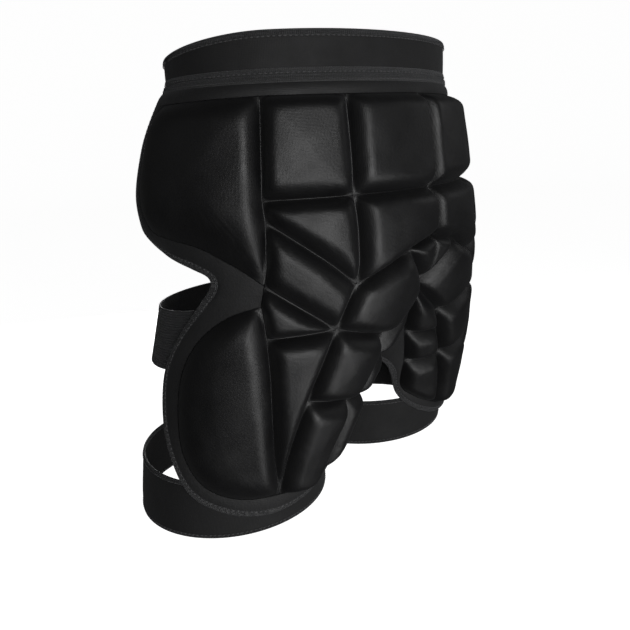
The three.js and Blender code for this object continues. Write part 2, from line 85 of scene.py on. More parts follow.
@dataclass(frozen=True)
class BodySizes:
    """Driving sizes of the body that the pad wraps."""

    waist_half_width: float = 0.1255
    waist_half_depth: float = 0.100
    hip_half_width: float = 0.147
    hip_half_depth: float = 0.117
    thigh_half_width: float = 0.087
    thigh_half_depth: float = 0.086
    thigh_offset: float = 0.099
    thigh_forward: float = 0.029
    front_flare: float = 0.019
    even_roundness: float = 2.0
    hip_roundness: float = 1.83


@dataclass(frozen=True)
class PieceSizes:
    """Heights and thicknesses of the pieces."""

    band_top: float = 0.018
    shell_top: float = -0.016
    shell_drop: float = 0.323
    strap_bottom: float = -0.360
    cloth_gap: float = 0.0003
    sheet: float = 0.0026
    cell_height: float = 0.0118
    cell_slope: float = 0.0114
    groove_half: float = 0.0005
    band: float = 0.0026
    band_binding_height: float = 0.0056
    band_binding: float = 0.0038
    band_front_droop: float = 0.009
    tape_height: float = 0.006
    tape: float = 0.004
    tab_width: float = 0.062
    tab: float = 0.002
    edge_binding_width: float = 0.0068
    edge_binding: float = 0.0036
    strap: float = 0.0018
    strap_inset: float = 0.0026
    upper_strap_inset: float = 0.0017
    upper_strap_height: float = 0.048
    upper_strap_fall: float = 0.022
    upper_strap_rise: float = 0.006
    lower_strap_height: float = 0.050
    strap_binding_height: float = 0.004
    strap_binding: float = 0.0026
    strap_tilt: float = 0.03
    cleft_clearance: float = 0.002


class SectionRow(NamedTuple):
    """Plan section: its drop and its shares of the waist, hip, thigh spread and front flare."""

    drop: float
    waist: float
    hip: float
    spread: float
    flare: float


SECTIONS = (
    SectionRow(0.000, 1.00, 0.00, 0.00, 0.0),
    SectionRow(0.075, 1.00, 0.00, 0.00, 0.0),
    SectionRow(0.106, 0.72, 0.28, 0.00, 0.2),
    SectionRow(0.202, 0.36, 0.64, 0.03, 0.8),
    SectionRow(0.287, 0.14, 0.86, 0.10, 1.0),
    SectionRow(0.350, 0.03, 0.97, 0.17, 0.8),
    SectionRow(0.400, 0.00, 0.99, 0.25, 0.2),
    SectionRow(0.495, 0.00, 0.85, 0.41, 0.0),
    SectionRow(0.601, 0.00, 0.66, 0.61, 0.0),
    SectionRow(0.707, 0.00, 0.46, 0.81, 0.0),
    SectionRow(0.814, 0.00, 0.25, 0.93, 0.0),
    SectionRow(0.907, 0.00, 0.10, 0.98, 0.0),
    SectionRow(1.000, 0.00, 0.00, 1.00, 0.0),
)

# Where the grooves of one half meet: the angle from the middle of the back round the side, and
# the drop as a share of the shell's height. An angle of None is on the mid line.
JOINTS: dict[str, tuple[float | None, float]] = {
    "seam_top": (None, 0.025),
    "seam_row": (None, 0.235),
    "seam_tail": (None, 0.345),
    "seam_cleft": (None, 0.471),
    "back_top": (30.5, 0.025),
    "side_top": (58.5, 0.024),
    "back_row": (28, 0.235),
    "side_row": (58, 0.236),
    "side_wedge": (57, 0.280),
    "side_knot": (56, 0.418),
    "seat_knot": (21.5, 0.430),
    "seat_tip": (2.5, 0.371),
    "star": (22.3, 0.530),
    "panel_top": (55, 0.463),
    "panel_side": (49.5, 0.539),
    "panel_foot": (20, 0.947),
    "thigh_mid": (21.5, 0.698),
    "cleft_upper": (-8.5, 0.576),
    "cleft_middle": (-9, 0.638),
    "cleft_lower": (-9, 0.732),
    "cleft_foot": (-4, 0.938),
    "inner_upper": (-29, 0.630),
    "inner_middle": (-32, 0.740),
    "inner_lower": (-33, 0.840),
    "inner_foot": (-22, 0.890),
    "thigh_foot": (3, 0.953),
    "front_top": (107, 0.030),
    "front_upper": (109.5, 0.080),
    "front_middle": (110, 0.250),
    "front_turn": (106, 0.303),
    "front_foot": (96, 0.320),
    "hip_foot": (81, 0.338),
    "hip_turn": (68, 0.375),
    "panel_rise": (66, 0.487),
    "panel_brow": (75, 0.530),
    "panel_shoulder": (81, 0.586),
    "panel_front": (83.5, 0.650),
    "panel_waist": (81, 0.750),
    "panel_hem": (73.5, 0.838),
    "panel_corner": (60, 0.906),
    "panel_base": (42, 0.939),
}

# The raised cells of one half, each by the joints around it
CELLS: dict[str, tuple[str, ...]] = {
    "front_panel": (
        "side_top", "side_row", "side_wedge", "side_knot", "hip_turn", "hip_foot",
        "front_foot", "front_turn", "front_middle", "front_upper", "front_top",
    ),
    "side_block": ("back_top", "side_top", "side_row", "back_row"),
    "back_block": ("seam_top", "back_top", "back_row", "seam_row"),
    "side_wedge": ("back_row", "side_row", "side_wedge", "seat_knot"),
    "back_lower": ("seam_row", "back_row", "seat_knot", "seat_tip", "seam_tail"),
    "side_lower": ("side_wedge", "seat_knot", "star", "side_knot"),
    "small_wedge": ("side_knot", "star", "panel_side", "panel_top"),
    "thigh_panel": (
        "panel_top", "panel_side", "panel_foot", "panel_base", "panel_corner", "panel_hem",
        "panel_waist", "panel_front", "panel_shoulder", "panel_brow", "panel_rise",
    ),
    "thigh_wedge": ("panel_side", "star", "thigh_mid", "panel_foot"),
    "seat": ("seat_tip", "seat_knot", "star", "cleft_upper", "seam_cleft"),
    "tail_wedge": ("seam_tail", "seat_tip", "seam_cleft"),
    "cleft_block": ("seam_cleft", "cleft_upper", "cleft_middle", "inner_upper"),
    "thigh_block": ("cleft_upper", "star", "thigh_mid", "cleft_lower", "cleft_middle"),
    "inner_block": ("inner_upper", "cleft_middle", "cleft_lower", "inner_middle"),
    "thigh_lower": ("cleft_lower", "thigh_mid", "panel_foot", "thigh_foot", "cleft_foot"),
    "inner_lower": ("inner_middle", "cleft_lower", "cleft_foot", "inner_foot", "inner_lower"),
}

# Runs of joints that one smooth curve passes through
CURVES: tuple[tuple[str, ...], ...] = (
    ("side_top", "front_top"),
    (
        "front_top", "front_upper", "front_middle", "front_turn", "front_foot", "hip_foot",
        "hip_turn", "side_knot",
    ),
    (
        "panel_top", "panel_rise", "panel_brow", "panel_shoulder", "panel_front", "panel_waist",
        "panel_hem", "panel_corner", "panel_base", "panel_foot",
    ),
    ("panel_foot", "thigh_foot", "cleft_foot", "inner_foot", "inner_lower", "inner_middle"),
)

# The flange: each joint at the cells' edge with its place on the outline, as angle and drop
FLANGE: tuple[tuple[str, float | None, float], ...] = (
    ("seam_top", None, 0.000),
    ("back_top", 30.5, 0.000),
    ("side_top", 58.5, 0.000),
    ("front_top", 114, 0.000),
    ("front_upper", 117.5, 0.065),
    ("front_middle", 118, 0.255),
    ("front_turn", 114.5, 0.325),
    ("front_foot", 103, 0.360),
    ("hip_foot", 86, 0.386),
    ("hip_turn", 78, 0.403),
    ("side_knot", 76.5, 0.419),
    ("panel_top", 77.2, 0.436),
    ("panel_rise", 80, 0.465),
    ("panel_brow", 87, 0.533),
    ("panel_shoulder", 92.5, 0.598),
    ("panel_front", 95, 0.655),
    ("panel_waist", 91.5, 0.756),
    ("panel_hem", 82, 0.848),
    ("panel_corner", 68, 0.930),
    ("panel_base", 47, 0.978),
    ("panel_foot", 23, 1.000),
    ("thigh_foot", 4, 0.990),
    ("cleft_foot", -6, 0.975),
    ("inner_foot", -23, 0.930),
    ("inner_lower", -35.5, 0.868),
    ("inner_middle", -43, 0.750),
    ("inner_upper", None, 0.690),
    ("seam_cleft", None, 0.471),
)
FRONT_ROW = 3
NOTCH_ROW = 26

# Sides with a slope of their own, gentle towards the flange and steep at the mid line: the cell,
# the joint where the side starts and the width of its slope
SIDE_SLOPES: dict[tuple[str, str], float] = {
    ("front_panel", "side_knot"): 0.034,
    ("front_panel", "front_top"): 0.017,
    ("thigh_panel", "panel_foot"): 0.032,
    ("back_block", "seam_row"): 0.0065,
    ("back_lower", "seam_tail"): 0.0065,
    ("tail_wedge", "seam_cleft"): 0.0050,
}
CORNER_TURN = math.radians(20)

# Form of the raised cells: how round the mitres between slopes are, as a share of the slope, how
# full the shoulders are and how much the top is crowned
MITRE_ROUNDING = 0.21
FULLNESS = 2.2
CROWN = 0.0012
CROWN_RUN = (0.006, 0.045)
# The longest slope as a share of a cell's room, and the height that a cell without room keeps
SLOPE_SHARE = 0.72
LOW_CELL = 0.72
FULL_ROOM = 0.019
LUMP = 0.00034
PUCKER = 0.00034
# Runs of angles over which the front flares out and the band's top droops
FLARE_RUN = (82, 122)
DROOP_RUN = (55, 125)

SIZES = PieceSizes()
BODY_SIZES = BodySizes()


def smooth(value: np.ndarray, low: float, high: float) -> np.ndarray:
    """Smooth step from 0 to 1.

    Args:
        value: the numbers to map.
        low: where the step starts.
        high: where the step ends.

    Returns:
        The mapped numbers.
    """
    t = np.clip((np.asarray(value, float) - low) / (high - low), 0.0, 1.0)
    return t * t * (3 - 2 * t)


class BodyForm:
    """The skin of the hips and thighs on the wearer's left half."""

    def __init__(self, sizes: BodySizes, pieces: PieceSizes) -> None:
        """Keeps the sizes and works out the slopes of the section table.

        Args:
            sizes: driving sizes of the body.
            pieces: heights of the pieces, which give the table's span.
        """
        self.sizes = sizes
        self.top = pieces.band_top
        self.span = pieces.band_top - pieces.strap_bottom
        self.rows = np.array(SECTIONS)
        self.slopes = self._slopes()

    def _slopes(self) -> np.ndarray:
        """Slope of each column at each row, level where the column turns."""
        step = np.diff(self.rows, axis=0)
        rate = step[:, 1:] / step[:, :1]
        slopes = np.zeros_like(self.rows[:, 1:])
        before, after = rate[:-1], rate[1:]
        turning = before * after <= 0
        total = np.where(turning, 1.0, before + after)
        slopes[1:-1] = np.where(turning, 0.0, 2 * before * after / total)
        return slopes

    def section(self, z: np.ndarray) -> dict[str, np.ndarray]:
        """Plan section at some heights.

        Args:
            z: heights.

        Returns:
            The leg's offset, half width, half depth, middle, roundness and flare.
        """
        drop = np.clip((self.top - z) / self.span, 0.0, 1.0)
        row = np.clip(np.searchsorted(self.rows[:, 0], drop, side="left") - 1, 0, len(SECTIONS) - 2)
        width = self.rows[row + 1, 0] - self.rows[row, 0]
        t = ((drop - self.rows[row, 0]) / width)[..., None]
        first = self.slopes[row] * width[..., None]
        last = self.slopes[row + 1] * width[..., None]
        start = self.rows[row, 1:]
        rise = self.rows[row + 1, 1:] - start
        bend = first + last - 2 * rise
        shares = start + t * (first + t * (rise - first - bend + t * bend))
        waist, hip, spread, flare = np.moveaxis(shares, -1, 0)
        thigh = 1 - waist - hip
        s = self.sizes
        offset = s.thigh_offset * spread
        outer = waist * s.waist_half_width + hip * s.hip_half_width
        outer = outer + thigh * (s.thigh_offset + s.thigh_half_width)
        depth = waist * s.waist_half_depth + hip * s.hip_half_depth + thigh * s.thigh_half_depth
        return {
            "offset": offset,
            "width": outer - offset,
            "depth": depth,
            "middle": -s.thigh_forward * thigh,
            "roundness": s.even_roundness + hip * (s.hip_roundness - s.even_roundness),
            "flare": s.front_flare * flare,
        }

    def point(self, angle: np.ndarray, z: np.ndarray) -> np.ndarray:
        """Points of the skin.

        Args:
            angle: degrees from the middle of the back round the side.
            z: heights.

        Returns:
            One point for each angle and height.
        """
        angle, z = np.broadcast_arrays(np.asarray(angle, float), np.asarray(z, float))
        s = self.section(z)
        side, back = np.sin(np.radians(angle)), np.cos(np.radians(angle))
        power = s["roundness"]
        reach = (np.abs(side) ** power + np.abs(back) ** power) ** (-1 / power)
        reach = reach * (1 + s["flare"] / s["width"] * smooth(angle, *FLARE_RUN))
        x = s["offset"] + s["width"] * side * reach
        y = s["middle"] + s["depth"] * back * reach
        return np.stack([x, y, z], -1)

    def normal(self, angle: np.ndarray, z: np.ndarray) -> np.ndarray:
        """Outward directions of the skin."""
        turn, rise = 0.25, 0.00025
        along = self.point(angle + turn, z) - self.point(angle - turn, z)
        up = self.point(angle, z + rise) - self.point(angle, z - rise)
        across = np.cross(up, along)
        return across / np.linalg.norm(across, axis=-1, keepdims=True)

    def lifted(self, angle: np.ndarray, z: np.ndarray, lift: np.ndarray | float) -> np.ndarray:
        """Points at a distance off the skin."""
        angle, z, lift = np.broadcast_arrays(
            np.asarray(angle, float), np.asarray(z, float), np.asarray(lift, float)
        )
        return self.point(angle, z) + self.normal(angle, z) * lift[..., None]

    def seam_angle(self, z: np.ndarray) -> np.ndarray:
        """Angle at which the skin meets the mid plane behind, at some heights."""
        z = np.asarray(z, float)
        low, high = np.full(z.shape, -90.0), np.zeros(z.shape)
        for _ in range(40):
            middle = (low + high) / 2
            outside = self.point(middle, z)[..., 0] > 0
            high = np.where(outside, middle, high)
            low = np.where(outside, low, middle)
        return high

    def girth(self, z: np.ndarray) -> np.ndarray:
        """Length along the skin for each degree, on average at some heights."""
        s = self.section(np.asarray(z, float))
        return np.radians(1) * (s["width"] + s["depth"]) / 2


FORM = BodyForm(BODY_SIZES, SIZES)


class Places(NamedTuple):
    """A run of places on the shell: angle, height and whether each is on the mid line."""

    angle: np.ndarray
    z: np.ndarray
    seam: np.ndarray

    def part(self, keep: slice | np.ndarray) -> "Places":
        """Some of the places."""
        return Places(self.angle[keep], self.z[keep], self.seam[keep])

    def turned(self) -> "Places":
        """The places in the opposite order."""
        return self.part(slice(None, None, -1))

    def points(self, lift: np.ndarray | float) -> np.ndarray:
        """Points off the skin, exactly on the mid plane along the seam."""
        points = FORM.lifted(self.angle, self.z, lift)
        points[..., 0] = np.where(self.seam, 0.0, points[..., 0])
        return points

    def flat(self) -> np.ndarray:
        """The places laid out flat, in metres."""
        return np.stack([self.angle * FORM.girth(self.z), self.z], -1)


def joined(runs: Sequence[Places]) -> Places:
    """Runs of places, one after another."""
    return Places(*(np.concatenate(column) for column in zip(*runs)))


def corner_place(angle: float | None, drop: float) -> Places:
    """One place from a table's row.

    Args:
        angle: its angle, or None on the mid line.
        drop: its drop as a share of the shell's height.

    Returns:
        A run of one place.
    """
    z = np.array([SIZES.shell_top - SIZES.shell_drop * drop])
    if angle is None:
        return Places(FORM.seam_angle(z), z, np.array([True]))
    return Places(np.array([float(angle)]), z, np.array([False]))


class ShellLayout:
    """Lines of the shell's pattern, sampled finely and alike from both sides."""

    def __init__(self, step: float) -> None:
        """Places the joints and notes the runs of joints that the smooth curves pass through.

        Args:
            step: distance between samples.
        """
        self.step = step
        self.joints = {name: corner_place(*row) for name, row in JOINTS.items()}
        self.curves = {}
        for names in CURVES:
            for k in range(len(names) - 1):
                self.curves[names[k], names[k + 1]] = (names, k)

    def steps(self, start: Places, end: Places) -> int:
        """Number of steps between two places."""
        gap = np.linalg.norm(start.points(0.0) - end.points(0.0))
        return max(2, round(float(gap) / self.step))

    def edge(self, start: str, end: str) -> Places:
        """Places from one joint to the next, without the last."""
        if (end, start) in self.curves:
            run = self._curve(end, start)
            return run.turned().part(slice(0, -1))
        if (start, end) in self.curves:
            return self._curve(start, end).part(slice(0, -1))
        first, last = sorted((start, end))
        run = self._line(self.joints[first], self.joints[last])
        run = run if first == start else run.turned()
        return run.part(slice(0, -1))

    def _line(self, start: Places, end: Places, count: int = 0) -> Places:
        """Places on the straight line between two places, both ends included."""
        count = count or self.steps(start, end)
        share = np.linspace(0, 1, count + 1)
        z = start.z + (end.z - start.z) * share
        angle = start.angle + (end.angle - start.angle) * share
        seam = np.zeros(count + 1, bool)
        if start.seam[0] and end.seam[0]:
            return Places(FORM.seam_angle(z), z, ~seam)
        seam[0], seam[-1] = start.seam[0], end.seam[0]
        return Places(angle, z, seam)

    def _curve(self, start: str, end: str) -> Places:
        """Places on the smooth curve between two joints, both ends included."""
        names, k = self.curves[start, end]
        around = [names[max(k - 1, 0)], start, end, names[min(k + 2, len(names) - 1)]]
        spots = [self.joints[name] for name in around]
        count = self.steps(spots[1], spots[2])
        return smooth_run(spots, count)

    def outline(self, cell: str) -> tuple[Places, list[tuple[int, float]]]:
        """Places round a cell, with the places where its sides meet at a corner.

        Args:
            cell: the cell's name.

        Returns:
            The closed run of places, and for each side the index of its first place and the
            width of its slope.
        """
        names = CELLS[cell]
        runs = [self.edge(name, names[(i + 1) % len(names)]) for i, name in enumerate(names)]
        starts = np.cumsum([0] + [len(run.z) for run in runs])[:-1]
        places = joined(runs)
        sides = []
        for name, start in zip(names, starts):
            if turn_at(places.flat(), int(start)) > CORNER_TURN:
                sides.append((int(start), SIDE_SLOPES.get((cell, name), SIZES.cell_slope)))
        return places, sides

    def flange(self) -> tuple[Places, Places]:
        """Chains along the cells' edge and along the outline, matched one to one."""
        inner, outer = [], []
        rims = [corner_place(angle, drop) for _, angle, drop in FLANGE]
        for i in range(len(FLANGE) - 1):
            run = self.edge(FLANGE[i][0], FLANGE[i + 1][0])
            inner.append(run)
            outer.append(self._rim_run(rims, i, len(run.z)).part(slice(0, -1)))
        inner.append(self.joints["seam_cleft"])
        outer.append(rims[-1])
        return joined(inner), joined(outer)

    def _rim_run(self, rims: list[Places], i: int, count: int) -> Places:
        """Places of the outline between two rows of the flange table."""
        if i < FRONT_ROW or i >= NOTCH_ROW:
            return self._line(rims[i], rims[i + 1], count)
        before = rims[max(i - 1, FRONT_ROW)]
        after = rims[min(i + 2, NOTCH_ROW)]
        return smooth_run([before, rims[i], rims[i + 1], after], count)


def smooth_run(spots: Sequence[Places], count: int) -> Places:
    """Places on a smooth curve between the middle two of four places.

    Args:
        spots: four places in order.
        count: number of steps.

    Returns:
        The run of places, both ends included.
    """
    fixed = np.array([[spot.angle[0], spot.z[0]] for spot in spots])
    flat = np.array([spot.flat()[0] for spot in spots])
    gaps = np.maximum(np.linalg.norm(np.diff(flat, axis=0), axis=1), 1e-6) ** 0.5
    knots = np.concatenate([[0], np.cumsum(gaps)])
    if gaps[0] < 2e-3:
        fixed[0] = 2 * fixed[1] - fixed[2]
        knots = knots - knots[1]
        knots[0] = -knots[2]
    if gaps[2] < 2e-3:
        fixed[3] = 2 * fixed[2] - fixed[1]
        knots[3] = 2 * knots[2] - knots[1]
    t = np.linspace(knots[1], knots[2], count + 1)[:, None]
    level = [fixed[i] for i in range(4)]
    for depth in range(1, 4):
        level = [
            _blend(level[i], level[i + 1], t, *_knot_pair(knots, i, depth))
            for i in range(4 - depth)
        ]
    seam = np.zeros(count + 1, bool)
    seam[0], seam[-1] = spots[1].seam[0], spots[2].seam[0]
    run = level[0]
    run[0], run[-1] = fixed[1], fixed[2]
    return Places(run[:, 0], run[:, 1], seam)


def _knot_pair(knots: np.ndarray, i: int, depth: int) -> tuple[float, float]:
    """Knots between which one blend of a smooth run works."""
    first, last = {1: (i, i + 1), 2: (i, i + 2), 3: (1, 2)}[depth]
    return float(knots[first]), float(knots[last])


def _blend(a: np.ndarray, b: np.ndarray, t: np.ndarray, start: float, end: float) -> np.ndarray:
    """Straight blend of two values between two knots."""
    share = (t - start) / (end - start)
    return a * (1 - share) + b * share


def turn_at(line: np.ndarray, i: int) -> float:
    """How sharply a closed line turns at one of its points.

    Args:
        line: the line's points.
        i: index of the point.

    Returns:
        The turn in radians, 0 where the line is straight.
    """
    before = line[i] - line[i - 1]
    after = line[(i + 1) % len(line)] - line[i]
    cosine = before @ after / (np.linalg.norm(before) * np.linalg.norm(after))
    return math.acos(max(-1.0, min(1.0, float(cosine))))


def side_distance(points: np.ndarray, line: np.ndarray) -> np.ndarray:
    """Distance from flat points to a flat line of short segments.

    Args:
        points: rows of flat coordinates.
        line: the line's points.

    Returns:
        The least distance of each point.
    """
    start, step = line[:-1], np.diff(line, axis=0)
    length = np.maximum((step**2).sum(1), 1e-12)
    away = points[:, None, :] - start[None]
    share = np.clip((away * step[None]).sum(2) / length, 0, 1)
    gap = away - share[..., None] * step[None]
    return np.sqrt((gap**2).sum(2)).min(1)


def finished(bm: bmesh.types.BMesh, name: str) -> bpy.types.Object:
    """Turns a bmesh into a smooth object at the origin.

    Args:
        bm: the mesh, which is freed.
        name: the object's name.

    Returns:
        The object, linked to the scene.
    """
    mesh = bpy.data.meshes.new(name)
    bm.to_mesh(mesh)
    bm.free()
    mesh.polygons.foreach_set("use_smooth", [True] * len(mesh.polygons))
    piece = bpy.data.objects.new(name, mesh)
    bpy.context.scene.collection.objects.link(piece)
    return piece


class MeshBuilder:
    """Collects grids of points in one bmesh and turns them into an object."""

    def __init__(self) -> None:
        """Starts with an empty mesh and its lay-out coordinates."""
        self.bm = bmesh.new()
        self.uv = self.bm.loops.layers.uv.new("weave")

    def grid(self, points: np.ndarray, flat: np.ndarray, flip: bool = False) -> None:
        """Adds a grid of quads.

        Args:
            points: places of the grid's points, rows by columns by 3.
            flat: lay-out coordinates of the same points, rows by columns by 2.
            flip: whether the faces look the other way.
        """
        rows, columns = points.shape[:2]
        made = bmesh.ops.create_grid(self.bm, x_segments=columns - 1, y_segments=rows - 1, size=0.5)
        spot = {}
        for vert in made["verts"]:
            column = round((vert.co.x + 0.5) * (columns - 1))
            row = round((vert.co.y + 0.5) * (rows - 1))
            spot[vert] = (row, column)
            vert.co = points[row, column]
        faces = {face for vert in made["verts"] for face in vert.link_faces}
        for face in faces:
            for loop in face.loops:
                loop[self.uv].uv = flat[spot[loop.vert]]
        if flip:
            bmesh.ops.reverse_faces(self.bm, faces=list(faces))

    def build(self, name: str, merge: float = 2e-5) -> bpy.types.Object:
        """Merges the grids and makes the object.

        Args:
            name: the object's name.
            merge: points closer than this become one.

        Returns:
            The new object, linked to the scene and shaded smooth.
        """
        bmesh.ops.remove_doubles(self.bm, verts=self.bm.verts, dist=merge)
        bmesh.ops.dissolve_degenerate(self.bm, edges=self.bm.edges, dist=merge / 2)
        bmesh.ops.recalc_face_normals(self.bm, faces=self.bm.faces)
        return finished(self.bm, name)

    def cap(self, ring: np.ndarray) -> None:
        """Closes the open end of a strip with one face.

        Args:
            ring: the end's points, the first repeated at the end.
        """
        self.bm.faces.new([self.bm.verts.new(point) for point in ring[:-1]])


def mirrored(points: np.ndarray, side: Side) -> np.ndarray:
    """Points on one side of the wearer, from points on the left."""
    return points * np.array([side.value, 1, 1])


@dataclass(frozen=True)
class ClothFinish:
    """Look of a cloth. Lengths are in metres."""

    name: str
    colour: tuple[float, float, float]
    roughness: float
    sheen: float
    thread: float
    ridge: float
    relief: float
    grain: float
    crumple: float
    slot: str


SATIN = ClothFinish(
    "satin_stretch", colour=(0.0042, 0.0042, 0.0046), roughness=0.475, sheen=0.02, thread=0.0009,
    ridge=0.00015, relief=0.34, grain=0.33, crumple=0.05, slot="shell_cloth",
)
# A lighter copy of the shell's satin for the sheet. The flange and the face towards the wearer are
# the same cloth as the cells, and the extra lightness of this colour is painted fill light.
SATIN_PAINTED_FILL = ClothFinish(
    "satin_flat_painted_fill", colour=(0.0085, 0.0085, 0.0090), roughness=0.66, sheen=0.06, thread=0.0009,
    ridge=0.00018, relief=0.45, grain=0.60, crumple=0.14, slot="shell_cloth",
)
PLAIN = ClothFinish(
    "band_knit", colour=(0.0056, 0.0056, 0.0060), roughness=0.78, sheen=0.05, thread=0.0011,
    ridge=0.00020, relief=0.45, grain=0.45, crumple=0.08, slot="band_cloth",
)
BINDING = ClothFinish(
    "binding_weave", colour=(0.0175, 0.0175, 0.0182), roughness=0.55, sheen=0.16, thread=0.0014,
    ridge=0.00045, relief=0.90, grain=0.80, crumple=0.10, slot="binding",
)
TAPE = ClothFinish(
    "ribbed_tape", colour=(0.0230, 0.0230, 0.0237), roughness=0.60, sheen=0.16, thread=0.0012,
    ridge=0.00045, relief=0.95, grain=0.90, crumple=0.10, slot="ribbed_tape",
)
ELASTIC = ClothFinish(
    "ribbed_elastic", colour=(0.0130, 0.0130, 0.0136), roughness=0.58, sheen=0.14, thread=0.0012,
    ridge=0.00040, relief=0.85, grain=0.70, crumple=0.10, slot="ribbed_tape",
)
THREAD = ClothFinish(
    "thread", colour=(0.0600, 0.0600, 0.0615), roughness=0.50, sheen=0.15, thread=0.0004,
    ridge=0.00010, relief=0.60, grain=0.20, crumple=0.0, slot="binding",
)


class ClothMaterial:
    """Procedural cloth: crossed threads, grain and slow changes of shade."""

    made: dict[str, bpy.types.Material] = {}

    def __init__(self, finish: ClothFinish) -> None:
        """Keeps the finish to build from."""
        self.finish = finish

    def get(self) -> bpy.types.Material:
        """The material, made once."""
        if self.finish.name not in self.made:
            self.made[self.finish.name] = self._build()
        return self.made[self.finish.name]

    def _build(self) -> bpy.types.Material:
        """Makes the node tree."""
        f = self.finish
        material = bpy.data.materials.new(f.name)
        material.use_nodes = True
        tree = material.node_tree
        shader = tree.nodes["Principled BSDF"]
        shader.inputs["Metallic"].default_value = 0.0
        shader.inputs["Specular IOR Level"].default_value = 0.5
        shader.inputs["Sheen Weight"].default_value = f.sheen
        shader.inputs["Sheen Roughness"].default_value = 0.45
        shader.inputs["Sheen Tint"].default_value = (0.75, 0.77, 0.80, 1.0)
        tree.links.new(self._shade(tree), shader.inputs["Base Color"])
        tree.links.new(self._roughness(tree), shader.inputs["Roughness"])
        tree.links.new(self._relief(tree), shader.inputs["Normal"])
        return material

    def _noise(self, tree: bpy.types.NodeTree, size: float, detail: float) -> bpy.types.NodeSocket:
        """Noise over the piece with lumps of a size."""
        place = tree.nodes.new("ShaderNodeTexCoord")
        noise = tree.nodes.new("ShaderNodeTexNoise")
        noise.inputs["Scale"].default_value = 1 / size
        noise.inputs["Detail"].default_value = detail
        tree.links.new(place.outputs["Object"], noise.inputs["Vector"])
        return noise.outputs["Fac"]

    def _ranged(self, tree: bpy.types.NodeTree, source: bpy.types.NodeSocket,
                low: float, high: float) -> bpy.types.NodeSocket:
        """A noise value mapped to a range."""
        ranged = tree.nodes.new("ShaderNodeMapRange")
        ranged.inputs["From Min"].default_value = 0.3
        ranged.inputs["From Max"].default_value = 0.7
        ranged.inputs["To Min"].default_value = low
        ranged.inputs["To Max"].default_value = high
        tree.links.new(source, ranged.inputs["Value"])
        return ranged.outputs["Result"]

    def _shade(self, tree: bpy.types.NodeTree) -> bpy.types.NodeSocket:
        """Colour with slow and fine changes."""
        ramp = tree.nodes.new("ShaderNodeValToRGB")
        ramp.color_ramp.elements[0].position = 0.25
        ramp.color_ramp.elements[0].color = (*[c * 0.70 for c in self.finish.colour], 1)
        ramp.color_ramp.elements[1].position = 0.75
        ramp.color_ramp.elements[1].color = (*[c * 1.35 for c in self.finish.colour], 1)
        mix = tree.nodes.new("ShaderNodeMath")
        mix.operation = "ADD"
        half = tree.nodes.new("ShaderNodeMath")
        half.operation = "MULTIPLY"
        half.inputs[1].default_value = 0.5
        tree.links.new(self._noise(tree, 0.045, 3), mix.inputs[0])
        tree.links.new(self._noise(tree, 0.0012, 2), mix.inputs[1])
        tree.links.new(mix.outputs[0], half.inputs[0])
        tree.links.new(half.outputs[0], ramp.inputs["Fac"])
        return ramp.outputs["Color"]

    def _roughness(self, tree: bpy.types.NodeTree) -> bpy.types.NodeSocket:
        """Roughness with slow changes."""
        low, high = self.finish.roughness - 0.05, self.finish.roughness + 0.06
        return self._ranged(tree, self._noise(tree, 0.02, 3), low, high)

    def _relief(self, tree: bpy.types.NodeTree) -> bpy.types.NodeSocket:
        """Bump of crossed threads with grain between them."""
        lay = tree.nodes.new("ShaderNodeUVMap")
        lay.uv_map = "weave"
        product = tree.nodes.new("ShaderNodeMath")
        product.operation = "MULTIPLY"
        for index, direction in enumerate(("X", "Y")):
            wave = tree.nodes.new("ShaderNodeTexWave")
            wave.wave_type = "BANDS"
            wave.bands_direction = direction
            wave.inputs["Scale"].default_value = math.pi / (10 * self.finish.thread)
            wave.inputs["Distortion"].default_value = 0.6
            wave.inputs["Detail"].default_value = 1.0
            tree.links.new(lay.outputs["UV"], wave.inputs["Vector"])
            tree.links.new(wave.outputs["Fac"], product.inputs[index])
        weave = tree.nodes.new("ShaderNodeBump")
        weave.inputs["Strength"].default_value = self.finish.relief
        weave.inputs["Distance"].default_value = self.finish.ridge
        grain = tree.nodes.new("ShaderNodeBump")
        grain.inputs["Strength"].default_value = self.finish.grain
        grain.inputs["Distance"].default_value = 0.0004
        crumple = tree.nodes.new("ShaderNodeBump")
        crumple.inputs["Strength"].default_value = self.finish.crumple
        crumple.inputs["Distance"].default_value = 0.0022
        tree.links.new(product.outputs[0], weave.inputs["Height"])
        tree.links.new(self._noise(tree, 0.0016, 3), grain.inputs["Height"])
        tree.links.new(self._noise(tree, 0.011, 2), crumple.inputs["Height"])
        tree.links.new(crumple.outputs["Normal"], grain.inputs["Normal"])
        tree.links.new(grain.outputs["Normal"], weave.inputs["Normal"])
        return weave.outputs["Normal"]


def dress(piece: bpy.types.Object, finish: ClothFinish, *nodes: str) -> None:
    """Gives a piece its cloth, its body and the nodes that it stands for.

    Args:
        piece: the new object.
        finish: its cloth.
        nodes: the frame's nodes that it replaces.
    """
    piece.data.materials.append(ClothMaterial(finish).get())
    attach(piece, BODY)
    if nodes:
        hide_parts(*nodes)


